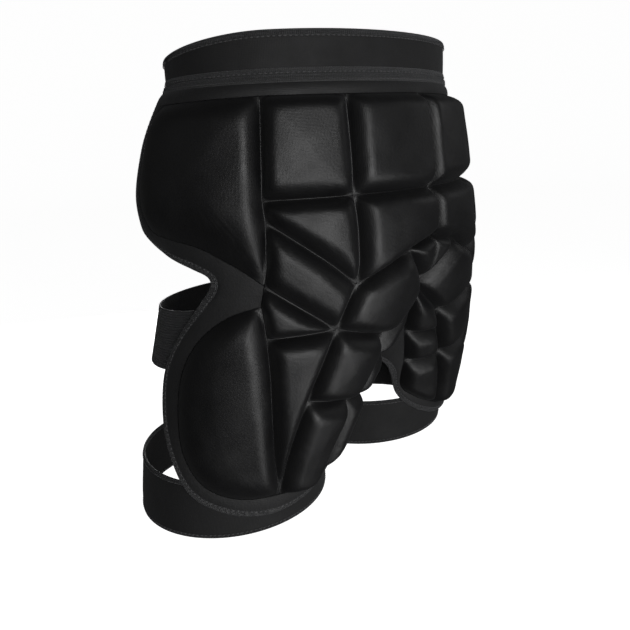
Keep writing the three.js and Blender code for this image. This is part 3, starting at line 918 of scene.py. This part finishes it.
class Strip:
    """A band of cloth that follows the skin, with a closed cross section."""

    def __init__(self, angles: np.ndarray, height: Curve) -> None:
        """Keeps the strip's run.

        Args:
            angles: angle of each station.
            height: height of the strip's own zero line at angles.
        """
        self.angles = angles
        self.base = height(angles)

    def run(self) -> np.ndarray:
        """Distance run along the strip at each station."""
        points = FORM.point(self.angles, self.base)
        gaps = np.linalg.norm(np.diff(points, axis=0), axis=1)
        return np.concatenate([[0], np.cumsum(gaps)])

    def points(self, profile: np.ndarray) -> np.ndarray:
        """Places of a profile at every station.

        Args:
            profile: rows of height over the zero line and lift off the skin, for all stations
                alike or for each station.

        Returns:
            Points, stations by profile rows by 3.
        """
        profile = np.broadcast_to(profile, (len(self.angles),) + profile.shape[-2:])
        z = self.base[:, None] + profile[..., 0]
        return FORM.lifted(self.angles[:, None], z, profile[..., 1])

    def lay(self, profile: np.ndarray) -> np.ndarray:
        """Lay-out coordinates that match the points."""
        profile = np.broadcast_to(profile, (len(self.angles),) + profile.shape[-2:])
        gaps = np.linalg.norm(np.diff(profile, axis=1), axis=2)
        across = np.concatenate([np.zeros((len(gaps), 1)), np.cumsum(gaps, axis=1)], axis=1)
        along = np.broadcast_to(self.run()[:, None], across.shape)
        return np.stack([along, across], -1)


def box_profile(low: float, high: float, inside: float, outside: float, bulge: float = 0.0,
                ribs: int = 0, rib_depth: float = 0.0) -> np.ndarray:
    """Closed cross section of a flat strip with rounded edges.

    Args:
        low: height of its foot.
        high: height of its top.
        inside: lift of the face towards the wearer.
        outside: lift of the outer face.
        bulge: how far the outer face swells at its middle.
        ribs: number of ribs that run along the outer face.
        rib_depth: depth of the channels between ribs.

    Returns:
        Rows of height and lift, the first repeated at the end.
    """
    thick = outside - inside
    edge = min(thick, high - low) / 2
    count = max(14, 6 * ribs + 1)
    share = np.linspace(0, 1, count)
    heights = low + edge + (high - low - 2 * edge) * share
    lifts = np.full(count, outside) + bulge * np.sin(np.pi * share) ** 0.7
    if ribs:
        lifts = lifts - rib_depth * (0.5 + 0.5 * np.cos(2 * np.pi * ribs * share)) ** 2
    turn = np.linspace(0, np.pi, 9)[1:-1]
    rise, swing = edge * np.sin(turn), thick / 2 * np.cos(turn)
    top = np.stack([high - edge + rise, inside + thick / 2 + swing], 1)
    foot = np.stack([low + edge - rise, inside + thick / 2 - swing], 1)
    face = np.stack([heights, lifts], 1)
    back = np.array([[high - edge, inside], [(high + low) / 2, inside], [low + edge, inside]])
    return np.concatenate([face, top, back, foot, face[:1]])


WAIST_STATIONS = 289


def band_top(angle: np.ndarray) -> np.ndarray:
    """Height of the waist band's top edge, which droops towards the front."""
    folded = np.where(angle > 180, 360 - angle, angle)
    return SIZES.band_top - SIZES.band_front_droop * smooth(folded, *DROOP_RUN)


def around_waist(profile: Curve, builder: MeshBuilder) -> None:
    """Adds a ring round the waist.

    Args:
        profile: gives each station's cross section, as heights and lifts.
        builder: collects the ring.
    """
    half = np.linspace(0, 180, WAIST_STATIONS // 2 + 1)
    strip = Strip(half, np.zeros_like)
    rows = profile(half)
    points, lay = strip.points(rows), strip.lay(rows)
    builder.grid(points, lay)
    builder.grid(mirrored(points, Side.RIGHT), lay * np.array([-1, 1]), flip=True)


class StitchRow:
    """A row of machine stitches along a line of points."""

    def __init__(self, length: float = 0.0026, gap: float = 0.0011, thick: float = 0.00045) -> None:
        """Keeps the stitches' size."""
        self.length = length
        self.pitch = length + gap
        self.thick = thick
        self.bm = bmesh.new()
        self.uv = self.bm.loops.layers.uv.new("weave")

    def add(self, line: np.ndarray, outward: np.ndarray) -> None:
        """Adds stitches along a line.

        Args:
            line: points of the line on the cloth.
            outward: direction off the cloth at each point.
        """
        gaps = np.linalg.norm(np.diff(line, axis=0), axis=1)
        run = np.concatenate([[0], np.cumsum(gaps)])
        starts = np.arange(self.pitch / 2, run[-1] - self.length, self.pitch)
        for start in starts:
            middle = start + self.length / 2
            ends = [self._at(run, line, s) for s in (start, middle, start + self.length)]
            off = self._at(run, outward, middle)
            self._stitch(ends[0], ends[2], off / np.linalg.norm(off))

    @staticmethod
    def _at(run: np.ndarray, line: np.ndarray, where: float) -> np.ndarray:
        """Value along a line at a distance run."""
        return np.array([np.interp(where, run, line[:, k]) for k in range(3)])

    def _stitch(self, start: np.ndarray, end: np.ndarray, off: np.ndarray) -> None:
        """Adds one stitch, a short rounded bar."""
        along = Vector(end - start)
        made = bmesh.ops.create_icosphere(self.bm, subdivisions=1, radius=1.0)
        x = along.normalized()
        z = Vector(off)
        y = z.cross(x).normalized()
        place = Matrix((
            (*(x * along.length / 2),), (*(y * self.thick),), (*(z * self.thick * 0.8),),
        )).transposed().to_4x4()
        place.translation = Vector((start + end) / 2)
        bmesh.ops.transform(self.bm, matrix=place, verts=made["verts"])

    def build(self, name: str) -> bpy.types.Object:
        """Makes the row's object in thread."""
        piece = finished(self.bm, name)
        dress(piece, THREAD)
        return piece


class WaistBand:
    """The soft band, its top binding, its ribbed tape and the front flap."""

    LIP_HEIGHT = 0.0042
    LIP_PROUD = 0.0009

    def build(self) -> None:
        """Makes every piece of the band."""
        self._band()
        self._binding()
        self._tape()
        self._tab()
        self._stitches()
        LOG.info("waist band made")

    @property
    def tape_top(self) -> float:
        """Height of the tape's top edge."""
        return SIZES.shell_top + SIZES.tape_height

    def _rows(self, low: Curve, high: Curve,
              inside: float, outside: float, **form: float) -> Curve:
        """Cross section between two heights that change with the angle."""
        def profile(angles: np.ndarray) -> np.ndarray:
            return np.stack([
                box_profile(float(a), float(b), inside, outside, **form)
                for a, b in zip(low(angles), high(angles))
            ])
        return profile

    def _band(self) -> None:
        """The cloth of the band, slightly swollen by the foam inside."""
        builder = MeshBuilder()
        foot = self.tape_top - SIZES.tape_height * 0.6
        around_waist(self._rows(
            lambda angle: np.full_like(angle, foot),
            lambda angle: band_top(angle) - SIZES.band_binding_height * 0.45,
            SIZES.cloth_gap, SIZES.band, bulge=0.0003,
        ), builder)
        piece = builder.build("waist_band_cloth")
        half = np.linspace(0, 180, WAIST_STATIONS // 2)
        run = float(2 * Strip(half, np.zeros_like).run()[-1])
        dress(piece, PLAIN, "waist_band")

    def _binding(self) -> None:
        """The folded binding over the band's top edge."""
        builder = MeshBuilder()
        inside = (SIZES.band - SIZES.band_binding) / 2
        around_waist(self._rows(
            lambda angle: band_top(angle) - SIZES.band_binding_height,
            band_top,
            inside, inside + SIZES.band_binding, bulge=0.0004, ribs=3, rib_depth=0.0006,
        ), builder)
        dress(builder.build("waist_binding_fold"), BINDING, "waist_binding")

    def _tape(self) -> None:
        """The ribbed tape over the join of band and shell."""
        builder = MeshBuilder()
        around_waist(self._rows(
            lambda angle: np.full_like(angle, SIZES.shell_top - 3 * SIZES.cloth_gap),
            lambda angle: np.full_like(angle, self.tape_top),
            0.0, SIZES.tape, bulge=0.0004, ribs=4, rib_depth=0.0008,
        ), builder)
        around_waist(self._rows(
            lambda angle: np.full_like(angle, self.tape_top - SIZES.cloth_gap),
            lambda angle: np.full_like(angle, self.tape_top + self.LIP_HEIGHT),
            SIZES.cloth_gap, SIZES.band + self.LIP_PROUD, bulge=0.0002, ribs=2, rib_depth=0.0003,
        ), builder)
        dress(builder.build("waist_tape_ribbed"), TAPE, "waist_tape")

    def _tab(self) -> None:
        """The flap that closes the band in front."""
        builder = MeshBuilder()
        reach = math.degrees(SIZES.tab_width / 2 / BODY_SIZES.waist_half_depth)
        angles = np.linspace(180 - reach, 180, 25)
        foot = self.tape_top + 2 * SIZES.cloth_gap
        top = float(band_top(np.array(180.0))) - SIZES.band_binding_height - 2 * SIZES.cloth_gap
        inside = SIZES.band + 4 * SIZES.cloth_gap
        profile = box_profile(foot, top, inside, inside + SIZES.tab * 0.8, bulge=0.0002)
        strip = Strip(angles, np.zeros_like)
        points, lay = strip.points(profile), strip.lay(profile)
        for side in Side:
            builder.grid(mirrored(points, side), lay, flip=side is Side.RIGHT)
            builder.cap(mirrored(points[0], side))
        piece = builder.build("waist_tab_flap")
        dress(piece, PLAIN, "waist_tab")

    def _stitches(self) -> None:
        """Stitch rows under the binding and over the tape."""
        row = StitchRow()
        half = np.linspace(0, 180, 140)
        lift = SIZES.band + 0.0008
        for height, off in (
            (band_top(half) - SIZES.band_binding_height * 0.82, SIZES.band_binding - 0.0003),
            (np.full_like(half, self.tape_top + 0.0008), lift + 0.0004),
        ):
            line = FORM.lifted(half, height, off)
            outward = FORM.normal(half, height)
            for side in Side:
                row.add(mirrored(line, side), mirrored(outward, side))
        row.build("waist_stitches")


class PadShell:
    """The moulded foam shell: raised cells, flat flange and the face towards the wearer."""

    STEP = 0.0024
    RINGS = 21
    GROOVE_DROP = 0.0007
    LINING_SWELL = 0.0009
    LINING_SLOPE = 0.0075
    LINING_RINGS = 14
    LINING_SPACING = 1.3

    def __init__(self) -> None:
        """Samples the pattern's lines."""
        self.layout = ShellLayout(self.STEP)
        self.inner, self.outer = self.layout.flange()

    def build(self) -> None:
        """Makes the shell's pieces."""
        for side in Side:
            self._cells(side)
        self._sheet()
        self._binding()
        LOG.info("shell made")

    def _cells(self, side: Side) -> None:
        """The raised cells of one half, fused along their grooves."""
        builder = MeshBuilder()
        for name in CELLS:
            spots, lay, lift = self._cell_grid(name)
            builder.grid(mirrored(spots.points(lift), side), lay, flip=side is Side.RIGHT)
        piece = builder.build(f"shell_cells_{side.word}")
        dress(piece, SATIN, "pad_shell")

    def _cell_grid(self, name: str) -> tuple[Places, np.ndarray, np.ndarray]:
        """Places, lay-out and lift of one cell's points, from its groove to its middle."""
        ring, sides = self.layout.outline(name)
        closed = closed_run(ring)
        middle = cell_middle(ring)
        spots = inward(closed, middle, ring_shares(closed, middle, self.RINGS))
        lay = spots.flat()
        lift = SIZES.sheet + pillow(lay, ring.flat(), sides)
        lift[0] = SIZES.sheet - self.GROOVE_DROP
        return spots, lay, lift

    def _sheet(self) -> None:
        """The flat sheet: flange in front, face towards the wearer behind, and its rim."""
        builder = MeshBuilder()
        rim = self._sheet_rim()
        rows = np.linspace(0, 1, 7)[:, None]
        angle = rim.angle + (self.inner.angle - rim.angle) * rows
        z = rim.z + (self.inner.z - rim.z) * rows
        seam = np.zeros(z.shape, bool)
        seam[0], seam[-1] = rim.seam, self.inner.seam
        flange = Places(angle, z, seam)
        front = np.full(z.shape, SIZES.sheet) + flange_relief(rows, flange)
        for side in Side:
            flip = side is Side.RIGHT
            builder.grid(mirrored(flange.points(front), side), flange.flat(), flip=flip)
            builder.grid(mirrored(flange.points(0.0), side), flange.flat(), flip=not flip)
            self._rim_wall(builder, flange, front, side)
            self._back_faces(builder, side)
        piece = builder.build("shell_sheet")
        # The sheet takes the lighter copy of the shell's satin: its extra lightness is painted fill
        # light on the flange and on the face towards the wearer.
        dress(piece, SATIN_PAINTED_FILL, "pad_shell")

    def _rim_wall(self, builder: MeshBuilder, flange: Places, front: np.ndarray,
                  side: Side) -> None:
        """The narrow wall between the sheet's two faces.

        Args:
            builder: collects the wall.
            flange: places across the flange, the outline first.
            front: lift of the sheet's front there.
            side: the wearer's side.
        """
        last = self._bound()[1] + 1
        edge = flange.part((slice(0, 1), slice(0, last)))
        edge = Places(*(np.repeat(column, 2, axis=0) for column in edge))
        lift = np.stack([front[0, :last], np.zeros(last)])
        builder.grid(mirrored(edge.points(lift), side), edge.flat(), flip=side is Side.RIGHT)

    def _back_faces(self, builder: MeshBuilder, side: Side) -> None:
        """The face towards the wearer, which swells a little behind each cell."""
        for name in CELLS:
            ring, _ = self.layout.outline(name)
            closed = closed_run(ring)
            share = np.linspace(0, 1, self.LINING_RINGS)[:, None] ** self.LINING_SPACING
            spots = inward(closed, cell_middle(ring), share)
            lay = spots.flat()
            gap = side_distance(lay.reshape(-1, 2), closed.flat()).reshape(spots.z.shape)
            swell = self.LINING_SWELL * shoulder(gap / self.LINING_SLOPE)
            builder.grid(mirrored(spots.points(-swell), side), lay, flip=side is Side.LEFT)

    def _bound(self) -> tuple[int, int]:
        """First and last place of the outline that the binding covers."""
        first = int(np.argmax(self.outer.angle >= FLANGE[FRONT_ROW][1]))
        notch = corner_place(*FLANGE[NOTCH_ROW][1:])
        near = self.outer.seam & (np.abs(self.outer.z - notch.z[0]) < 1e-6)
        return first, int(np.argmax(near))

    def _drawn_in(self, width: float) -> Places:
        """The outline drawn in across the flange by a width."""
        reach = np.linalg.norm(self.outer.points(0.0) - self.inner.points(0.0), axis=1)
        share = np.minimum(width / np.maximum(reach, width), 1)
        angle = self.outer.angle + (self.inner.angle - self.outer.angle) * share
        z = self.outer.z + (self.inner.z - self.outer.z) * share
        z = np.where(self.outer.seam, self.outer.z + width, z)
        angle = np.where(self.outer.seam, FORM.seam_angle(z), angle)
        return Places(angle, z, self.outer.seam)

    def _sheet_rim(self) -> Places:
        """The sheet's own outline, short of the binding where it is bound."""
        first, last = self._bound()
        index = np.arange(len(self.outer.z))
        bound = (index >= first) & (index <= last)
        inset = self._drawn_in(SIZES.edge_binding_width * 0.55)
        return Places(
            np.where(bound, inset.angle, self.outer.angle),
            np.where(bound, inset.z, self.outer.z),
            self.outer.seam,
        )

    def _binding(self) -> None:
        """The folded binding round the free edge, with its stitches."""
        first, last = self._bound()
        part = slice(first, last + 1)
        outer = self.outer.part(part)
        inner = self._drawn_in(SIZES.edge_binding_width).part(part)
        low = (SIZES.sheet - SIZES.edge_binding) / 2
        profile = fold_profile(low, low + SIZES.edge_binding)
        across = profile[:, 0][None, :]
        angle = outer.angle[:, None] + (inner.angle - outer.angle)[:, None] * across
        z = outer.z[:, None] + (inner.z - outer.z)[:, None] * across
        seam = np.broadcast_to(outer.seam[:, None], z.shape)
        spots = Places(angle, z, seam)
        lift = np.broadcast_to(profile[:, 1][None, :], z.shape)
        builder = MeshBuilder()
        for side in Side:
            points = mirrored(spots.points(lift), side)
            builder.grid(points, spots.flat(), flip=side is Side.RIGHT)
            builder.cap(points[0])
        dress(builder.build("shell_edge_binding"), BINDING, "edge_binding")
        self._binding_stitches(outer, inner, low + SIZES.edge_binding)

    def _binding_stitches(self, outer: Places, inner: Places, lift: float) -> None:
        """Stitches near the binding's inner edge."""
        share = 0.78
        angle = outer.angle + (inner.angle - outer.angle) * share
        z = outer.z + (inner.z - outer.z) * share
        line = Places(angle, z, outer.seam)
        row = StitchRow()
        for side in Side:
            points = mirrored(line.points(lift + 0.0001), side)
            row.add(points, mirrored(FORM.normal(angle, z), side))
        row.build("shell_edge_stitches")


def fold_profile(low: float, high: float) -> np.ndarray:
    """Closed cross section of a folded binding, from 0 at the fold to 1 at its inner edge."""
    middle, half = (low + high) / 2, (high - low) / 2
    turn = np.linspace(-np.pi / 2, np.pi / 2, 9)
    fold = np.stack([0.32 - 0.32 * np.cos(turn), middle + half * np.sin(turn)], 1)
    share = np.linspace(0, 1, 25)
    ribs = 0.00045 * (0.5 + 0.5 * np.cos(2 * np.pi * 3 * share)) ** 2
    front = np.stack([0.34 + 0.63 * share, high - ribs], 1)
    front = np.concatenate([front, [[1.0, high - 0.0009]]])
    back = np.array([[1.0, low + 0.0005], [0.93, low], [0.55, low]])
    ring = np.concatenate([fold, front, back])
    return np.concatenate([ring, ring[:1]])


def closed_run(ring: Places) -> Places:
    """A ring of places with its first repeated at the end."""
    return ring.part(np.append(np.arange(len(ring.z)), 0))


def inward(closed: Places, middle: np.ndarray, share: np.ndarray) -> Places:
    """Places from a cell's outline towards its middle.

    Args:
        closed: the outline, the first place repeated at the end.
        middle: angle and height of the cell's middle.
        share: how far each row goes, 0 on the outline and 1 at the middle.

    Returns:
        Rows of places. Only the outline's own may be on the mid line.
    """
    angle = closed.angle + (middle[0] - closed.angle) * share
    z = closed.z + (middle[1] - closed.z) * share
    seam = np.zeros(z.shape, bool)
    seam[0] = closed.seam
    return Places(angle, z, seam)


def cell_middle(ring: Places) -> np.ndarray:
    """Middle of a cell, as an angle and a height."""
    flat = ring.flat()
    after = np.roll(flat, -1, axis=0)
    cross = flat[:, 0] * after[:, 1] - after[:, 0] * flat[:, 1]
    area = cross.sum() / 2
    centre = ((flat + after) * cross[:, None]).sum(0) / (6 * area)
    angle = centre[0] / FORM.girth(np.array([centre[1]]))[0]
    return np.array([angle, centre[1]])


def ring_shares(ring: Places, middle: np.ndarray, count: int) -> np.ndarray:
    """How far each ring of points goes towards the middle, closer together near the groove."""
    centre = FORM.point(middle[0], middle[1])
    reach = np.linalg.norm(ring.points(0.0) - centre, axis=1)
    near = SIZES.groove_half
    even = np.linspace(0, 1, count - 2)
    share = even**1.45
    first = near / reach
    rest = first[None, :] + (1 - first)[None, :] * share[1:, None]
    return np.concatenate([np.zeros((1, len(reach))), first[None, :], rest])


def pillow(points: np.ndarray, ring: np.ndarray, sides: Sequence[tuple[int, float]]) -> np.ndarray:
    """Height of a cell over the sheet: straight slopes, a rounded shoulder and a flat top.

    Args:
        points: lay-out coordinates of the cell's points.
        ring: lay-out coordinates of its outline.
        sides: first place and slope width of each side.

    Returns:
        The height of each point.
    """
    flat = points.reshape(-1, 2)
    loop = np.concatenate([ring, ring])
    marks = [start for start, _ in sides] + [sides[0][0] + len(ring)]
    gaps = np.stack([side_distance(flat, loop[a:b + 1]) for a, b in zip(marks[:-1], marks[1:])])
    room = float(gaps.min(0).max())
    widths = np.array([min(slope, SLOPE_SHARE * room) for _, slope in sides])[:, None]
    shares = np.maximum(gaps - SIZES.groove_half, 0) / widths
    share = soft_least(shares, MITRE_ROUNDING)
    tall = SIZES.cell_height * (LOW_CELL + (1 - LOW_CELL) * min(1.0, room / FULL_ROOM))
    height = tall * shoulder(share)
    crown = CROWN * smooth(gaps.min(0), *CROWN_RUN)
    return (height + crown + ripples(flat, share)).reshape(points.shape[:2])


def soft_least(values: np.ndarray, rounding: float) -> np.ndarray:
    """Least of several values, rounded where two are alike.

    Args:
        values: rows of values to compare.
        rounding: how near two values are where the rounding starts.

    Returns:
        The rounded least of each column, never below 0.
    """
    least = values.min(0)
    soft = least - rounding * np.log(np.exp(-(values - least) / rounding).sum(0))
    return np.where(least <= 0, 0, np.maximum(soft, 0))


def shoulder(share: np.ndarray) -> np.ndarray:
    """Steep rise that rounds over to a level top.

    Args:
        share: 0 at the groove, 1 at the end of the slope.

    Returns:
        Height as a share of the full height.
    """
    return 1 - (1 - np.clip(share, 0, 1)) ** FULLNESS


def ripples(flat: np.ndarray, share: np.ndarray) -> np.ndarray:
    """Small slow lumps of the foam and puckers of the cloth near the grooves."""
    x, y = flat[:, 0] / 0.01, flat[:, 1] / 0.01
    lumps = np.sin(1.31 * x + 0.7 * np.sin(0.9 * y)) * np.sin(1.13 * y + 0.8 * np.sin(0.77 * x))
    puckers = np.sin(6.1 * x + 2.2 * np.sin(1.7 * y)) * np.sin(5.3 * y + 1.9 * np.sin(2.1 * x))
    rim = np.clip(share, 0, 1)
    slope = np.exp(-((share - 0.45) / 0.3) ** 2)
    return LUMP * lumps * rim + PUCKER * puckers * rim * slope


def flange_relief(rows: np.ndarray, flange: Places) -> np.ndarray:
    """Slight swell of the flange between its binding and the cells."""
    return 0.0006 * np.sin(np.pi * rows) + np.zeros(flange.z.shape)


@dataclass(frozen=True)
class UpperStrapRun:
    """Where the upper strap starts and ends behind the shell, and how far along it is lowest."""

    start: float = 68.0
    end: float = 326.0
    drop: float = 0.540
    lowest: float = 0.48


class UpperStrap:
    """The ribbed elastic strap round the front of one thigh."""

    STATIONS = 181
    RIBS = 24
    RIB_DEPTH = 0.00045

    def __init__(self, side: Side, run: UpperStrapRun = UpperStrapRun()) -> None:
        """Keeps the strap's side and run."""
        self.side = side
        self.run = run

    def _middle(self, angles: np.ndarray) -> np.ndarray:
        """Height of the strap's middle line."""
        share = (angles - self.run.start) / (self.run.end - self.run.start)
        start = SIZES.shell_top - SIZES.shell_drop * self.run.drop
        fall = 1 - (1 - np.minimum(share / self.run.lowest, 1)) ** 2
        rise = smooth(share, self.run.lowest, 1)
        return start - SIZES.upper_strap_fall * fall + SIZES.upper_strap_rise * rise

    def build(self) -> None:
        """Makes the strap."""
        angles = np.linspace(self.run.start, self.run.end, self.STATIONS)
        strip = Strip(angles, self._middle)
        outside = -SIZES.upper_strap_inset
        half = SIZES.upper_strap_height / 2
        profile = box_profile(
            -half, half, outside - SIZES.strap, outside, ribs=self.RIBS, rib_depth=self.RIB_DEPTH
        )
        points = strip.points(profile)
        inward = (outside - profile[:, 1])[None, :]
        points[..., 0] = np.maximum(points[..., 0], SIZES.cleft_clearance + inward)
        points = mirrored(points, self.side)
        builder = MeshBuilder()
        builder.grid(points, strip.lay(profile), flip=self.side is Side.RIGHT)
        builder.cap(points[0])
        builder.cap(points[-1][::-1])
        piece = builder.build(f"upper_strap_{self.side.word}_elastic")
        length = float(strip.run()[-1])
        dress(piece, ELASTIC, f"upper_strap_{self.side.word}")


class LowerStrap:
    """The soft loop round one thigh, with a binding on each edge."""

    STATIONS = 201
    RIB_DEPTH = 0.0005

    def __init__(self, side: Side) -> None:
        """Keeps the strap's side."""
        self.side = side

    @staticmethod
    def _foot(angles: np.ndarray) -> np.ndarray:
        """Height of the strap's foot."""
        tilt = SIZES.strap_tilt * BODY_SIZES.thigh_half_depth
        return SIZES.strap_bottom + tilt * np.cos(np.radians(angles))

    def build(self) -> None:
        """Makes the strap and its bindings."""
        edge = SIZES.strap_binding_height
        tall = SIZES.lower_strap_height
        node = f"lower_strap_{self.side.word}"
        core = self._ring("cloth", edge / 2, tall - edge / 2, SIZES.strap, 0, PLAIN, node)
        length = float(Strip(np.linspace(0, 360, self.STATIONS), self._foot).run()[-1])
        self._ring("top_binding", tall - edge, tall, SIZES.strap_binding, 2, BINDING,
                   f"strap_top_binding_{self.side.word}")
        self._ring("foot_binding", 0.0, edge, SIZES.strap_binding, 2, BINDING,
                   f"strap_foot_binding_{self.side.word}")
        self._stitches(edge, tall)

    def _ring(self, word: str, low: float, high: float, thick: float, ribs: int,
              finish: ClothFinish, node: str) -> bpy.types.Object:
        """Makes one ring of the strap."""
        strip = Strip(np.linspace(0, 360, self.STATIONS), self._foot)
        outside = -SIZES.strap_inset + (thick - SIZES.strap) / 2
        profile = box_profile(
            low, high, outside - thick, outside, ribs=ribs, rib_depth=self.RIB_DEPTH
        )
        points = mirrored(strip.points(profile), self.side)
        builder = MeshBuilder()
        builder.grid(points, strip.lay(profile), flip=self.side is Side.RIGHT)
        piece = builder.build(f"lower_strap_{self.side.word}_{word}")
        dress(piece, finish, node)
        return piece

    def _stitches(self, edge: float, tall: float) -> None:
        """Stitch rows along both bindings."""
        row = StitchRow()
        angles = np.linspace(0, 360, self.STATIONS)
        off = -SIZES.strap_inset + (SIZES.strap_binding - SIZES.strap) / 2
        for height in (edge * 0.8, tall - edge * 0.8):
            z = self._foot(angles) + height
            line = FORM.lifted(angles, z, off)
            row.add(mirrored(line, self.side), mirrored(FORM.normal(angles, z), self.side))
        row.build(f"lower_strap_{self.side.word}_stitches")


@dataclass(frozen=True)
class PhotoView:
    """The camera's place, as fitted to the photograph."""

    azimuth: float = 132.2
    elevation: float = 17.6
    roll: float = -2.68
    distance: float = 0.594
    target_height: float = -0.2274
    focal_pixels: float = 620.0
    shift_right: float = 7.4
    shift_down: float = 13.1
    sensor: float = 36.0


@dataclass(frozen=True)
class SoftLight:
    """A soft light: where it stands round the pad, its size and its power."""

    name: str
    azimuth: float
    elevation: float
    distance: float
    size: float
    power: float


class Studio:
    """Plain pale floor, soft lights and the camera."""

    LIGHTS = (
        SoftLight("key", 145.0, 11.0, 1.45, 0.76, 10.8),
        SoftLight("low", 176.0, -22.0, 1.40, 0.80, 5.6),
        SoftLight("back_right", 236.0, 25.0, 1.90, 1.00, 1.6),
        SoftLight("left", 62.0, 25.0, 1.90, 1.00, 0.3),
        SoftLight("front", 322.0, -6.0, 1.80, 1.00, 14.0),
    )
    FLOOR_GAP = 0.30
    FLOOR_RADIUS = 6.0
    SWEEP = 2.5

    def build(self) -> None:
        """Makes the camera, the lights and the floor."""
        self._camera(PhotoView())
        for light in self.LIGHTS:
            self._light(light)
        self._floor()
        self._world()

    @staticmethod
    def _axes(azimuth: float, elevation: float) -> tuple[Vector, Vector, Vector]:
        """Right, up and backward directions of something that looks at the pad."""
        turn, rise = math.radians(azimuth), math.radians(elevation)
        level = Vector((math.sin(turn), -math.cos(turn), 0.0))
        back = level * math.cos(rise) + Vector((0.0, 0.0, math.sin(rise)))
        right = Vector((math.cos(turn), math.sin(turn), 0.0))
        return right, back.cross(right), back

    def _camera(self, view: PhotoView) -> None:
        """Places the camera as in the photograph."""
        right, up, back = self._axes(view.azimuth, view.elevation)
        roll = math.radians(view.roll)
        tilted = right * math.cos(roll) + up * math.sin(roll)
        upright = up * math.cos(roll) - right * math.sin(roll)
        data = bpy.data.cameras.new("photo_camera")
        data.sensor_width = view.sensor
        data.lens = view.focal_pixels / IMAGE_WIDTH * view.sensor
        data.shift_x = -view.shift_right / IMAGE_WIDTH
        data.shift_y = view.shift_down / IMAGE_WIDTH
        data.clip_start = 0.01
        camera = bpy.data.objects.new("photo_camera", data)
        bpy.context.scene.collection.objects.link(camera)
        turn = Matrix((tilted, upright, back)).transposed().to_4x4()
        turn.translation = Vector((0, 0, view.target_height)) + back * view.distance
        camera.matrix_world = turn
        bpy.context.scene.camera = camera

    def _light(self, light: SoftLight) -> None:
        """Places a square soft light that faces the pad."""
        right, up, back = self._axes(light.azimuth, light.elevation)
        data = bpy.data.lights.new(light.name, "AREA")
        data.shape = "SQUARE"
        data.size = light.size
        data.energy = light.power
        lamp = bpy.data.objects.new(light.name, data)
        bpy.context.scene.collection.objects.link(lamp)
        lamp.visible_camera = False
        turn = Matrix((right, up, back)).transposed().to_4x4()
        turn.translation = Vector((0, 0, PhotoView().target_height)) + back * light.distance
        lamp.matrix_world = turn

    def _floor(self) -> None:
        """A wide pale floor below the pad, swept up into a wall all round."""
        bm = bmesh.new()
        bmesh.ops.create_circle(bm, cap_ends=True, segments=64, radius=self.FLOOR_RADIUS)
        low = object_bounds()[0][2] - self.FLOOR_GAP
        bmesh.ops.translate(bm, verts=bm.verts, vec=(0, 0, low))
        reach = self.FLOOR_RADIUS
        for turn in np.linspace(0, math.pi / 2, 9)[1:]:
            rim = [edge for edge in bm.edges if edge.is_boundary]
            grown = bmesh.ops.extrude_edge_only(bm, edges=rim)["geom"]
            wide = self.FLOOR_RADIUS + self.SWEEP * math.sin(turn)
            for vert in (item for item in grown if isinstance(item, bmesh.types.BMVert)):
                vert.co = (vert.co.x * wide / reach, vert.co.y * wide / reach,
                           low + 2 * self.SWEEP * (1 - math.cos(turn)))
            reach = wide
        floor = finished(bm, "floor")
        floor.visible_diffuse = floor.visible_glossy = floor.visible_shadow = False
        material = bpy.data.materials.new("pale_floor")
        material.use_nodes = True
        shader = material.node_tree.nodes["Principled BSDF"]
        shader.inputs["Base Color"].default_value = (0.85, 0.85, 0.85, 1)
        shader.inputs["Roughness"].default_value = 0.9
        shader.inputs["Emission Color"].default_value = (1, 1, 1, 1)
        shader.inputs["Emission Strength"].default_value = 0.95
        floor.data.materials.append(material)
        floor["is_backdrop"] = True

    @staticmethod
    def _world() -> None:
        """Even dim surroundings, and plain display of the colours."""
        world = bpy.data.worlds.new("studio")
        world.use_nodes = True
        sky = world.node_tree.nodes["Background"]
        sky.inputs["Color"].default_value = (1, 1, 1, 1)
        sky.inputs["Strength"].default_value = 0.030
        bpy.context.scene.world = world
        bpy.context.scene.view_settings.view_transform = "Standard"


def main() -> None:
    """Builds the dressed hip pad and its studio."""
    logging.basicConfig(level=logging.INFO)
    Studio().build()
    WaistBand().build()
    PadShell().build()
    for side in Side:
        UpperStrap(side).build()
        LowerStrap(side).build()


if __name__ == "__main__":
    main()
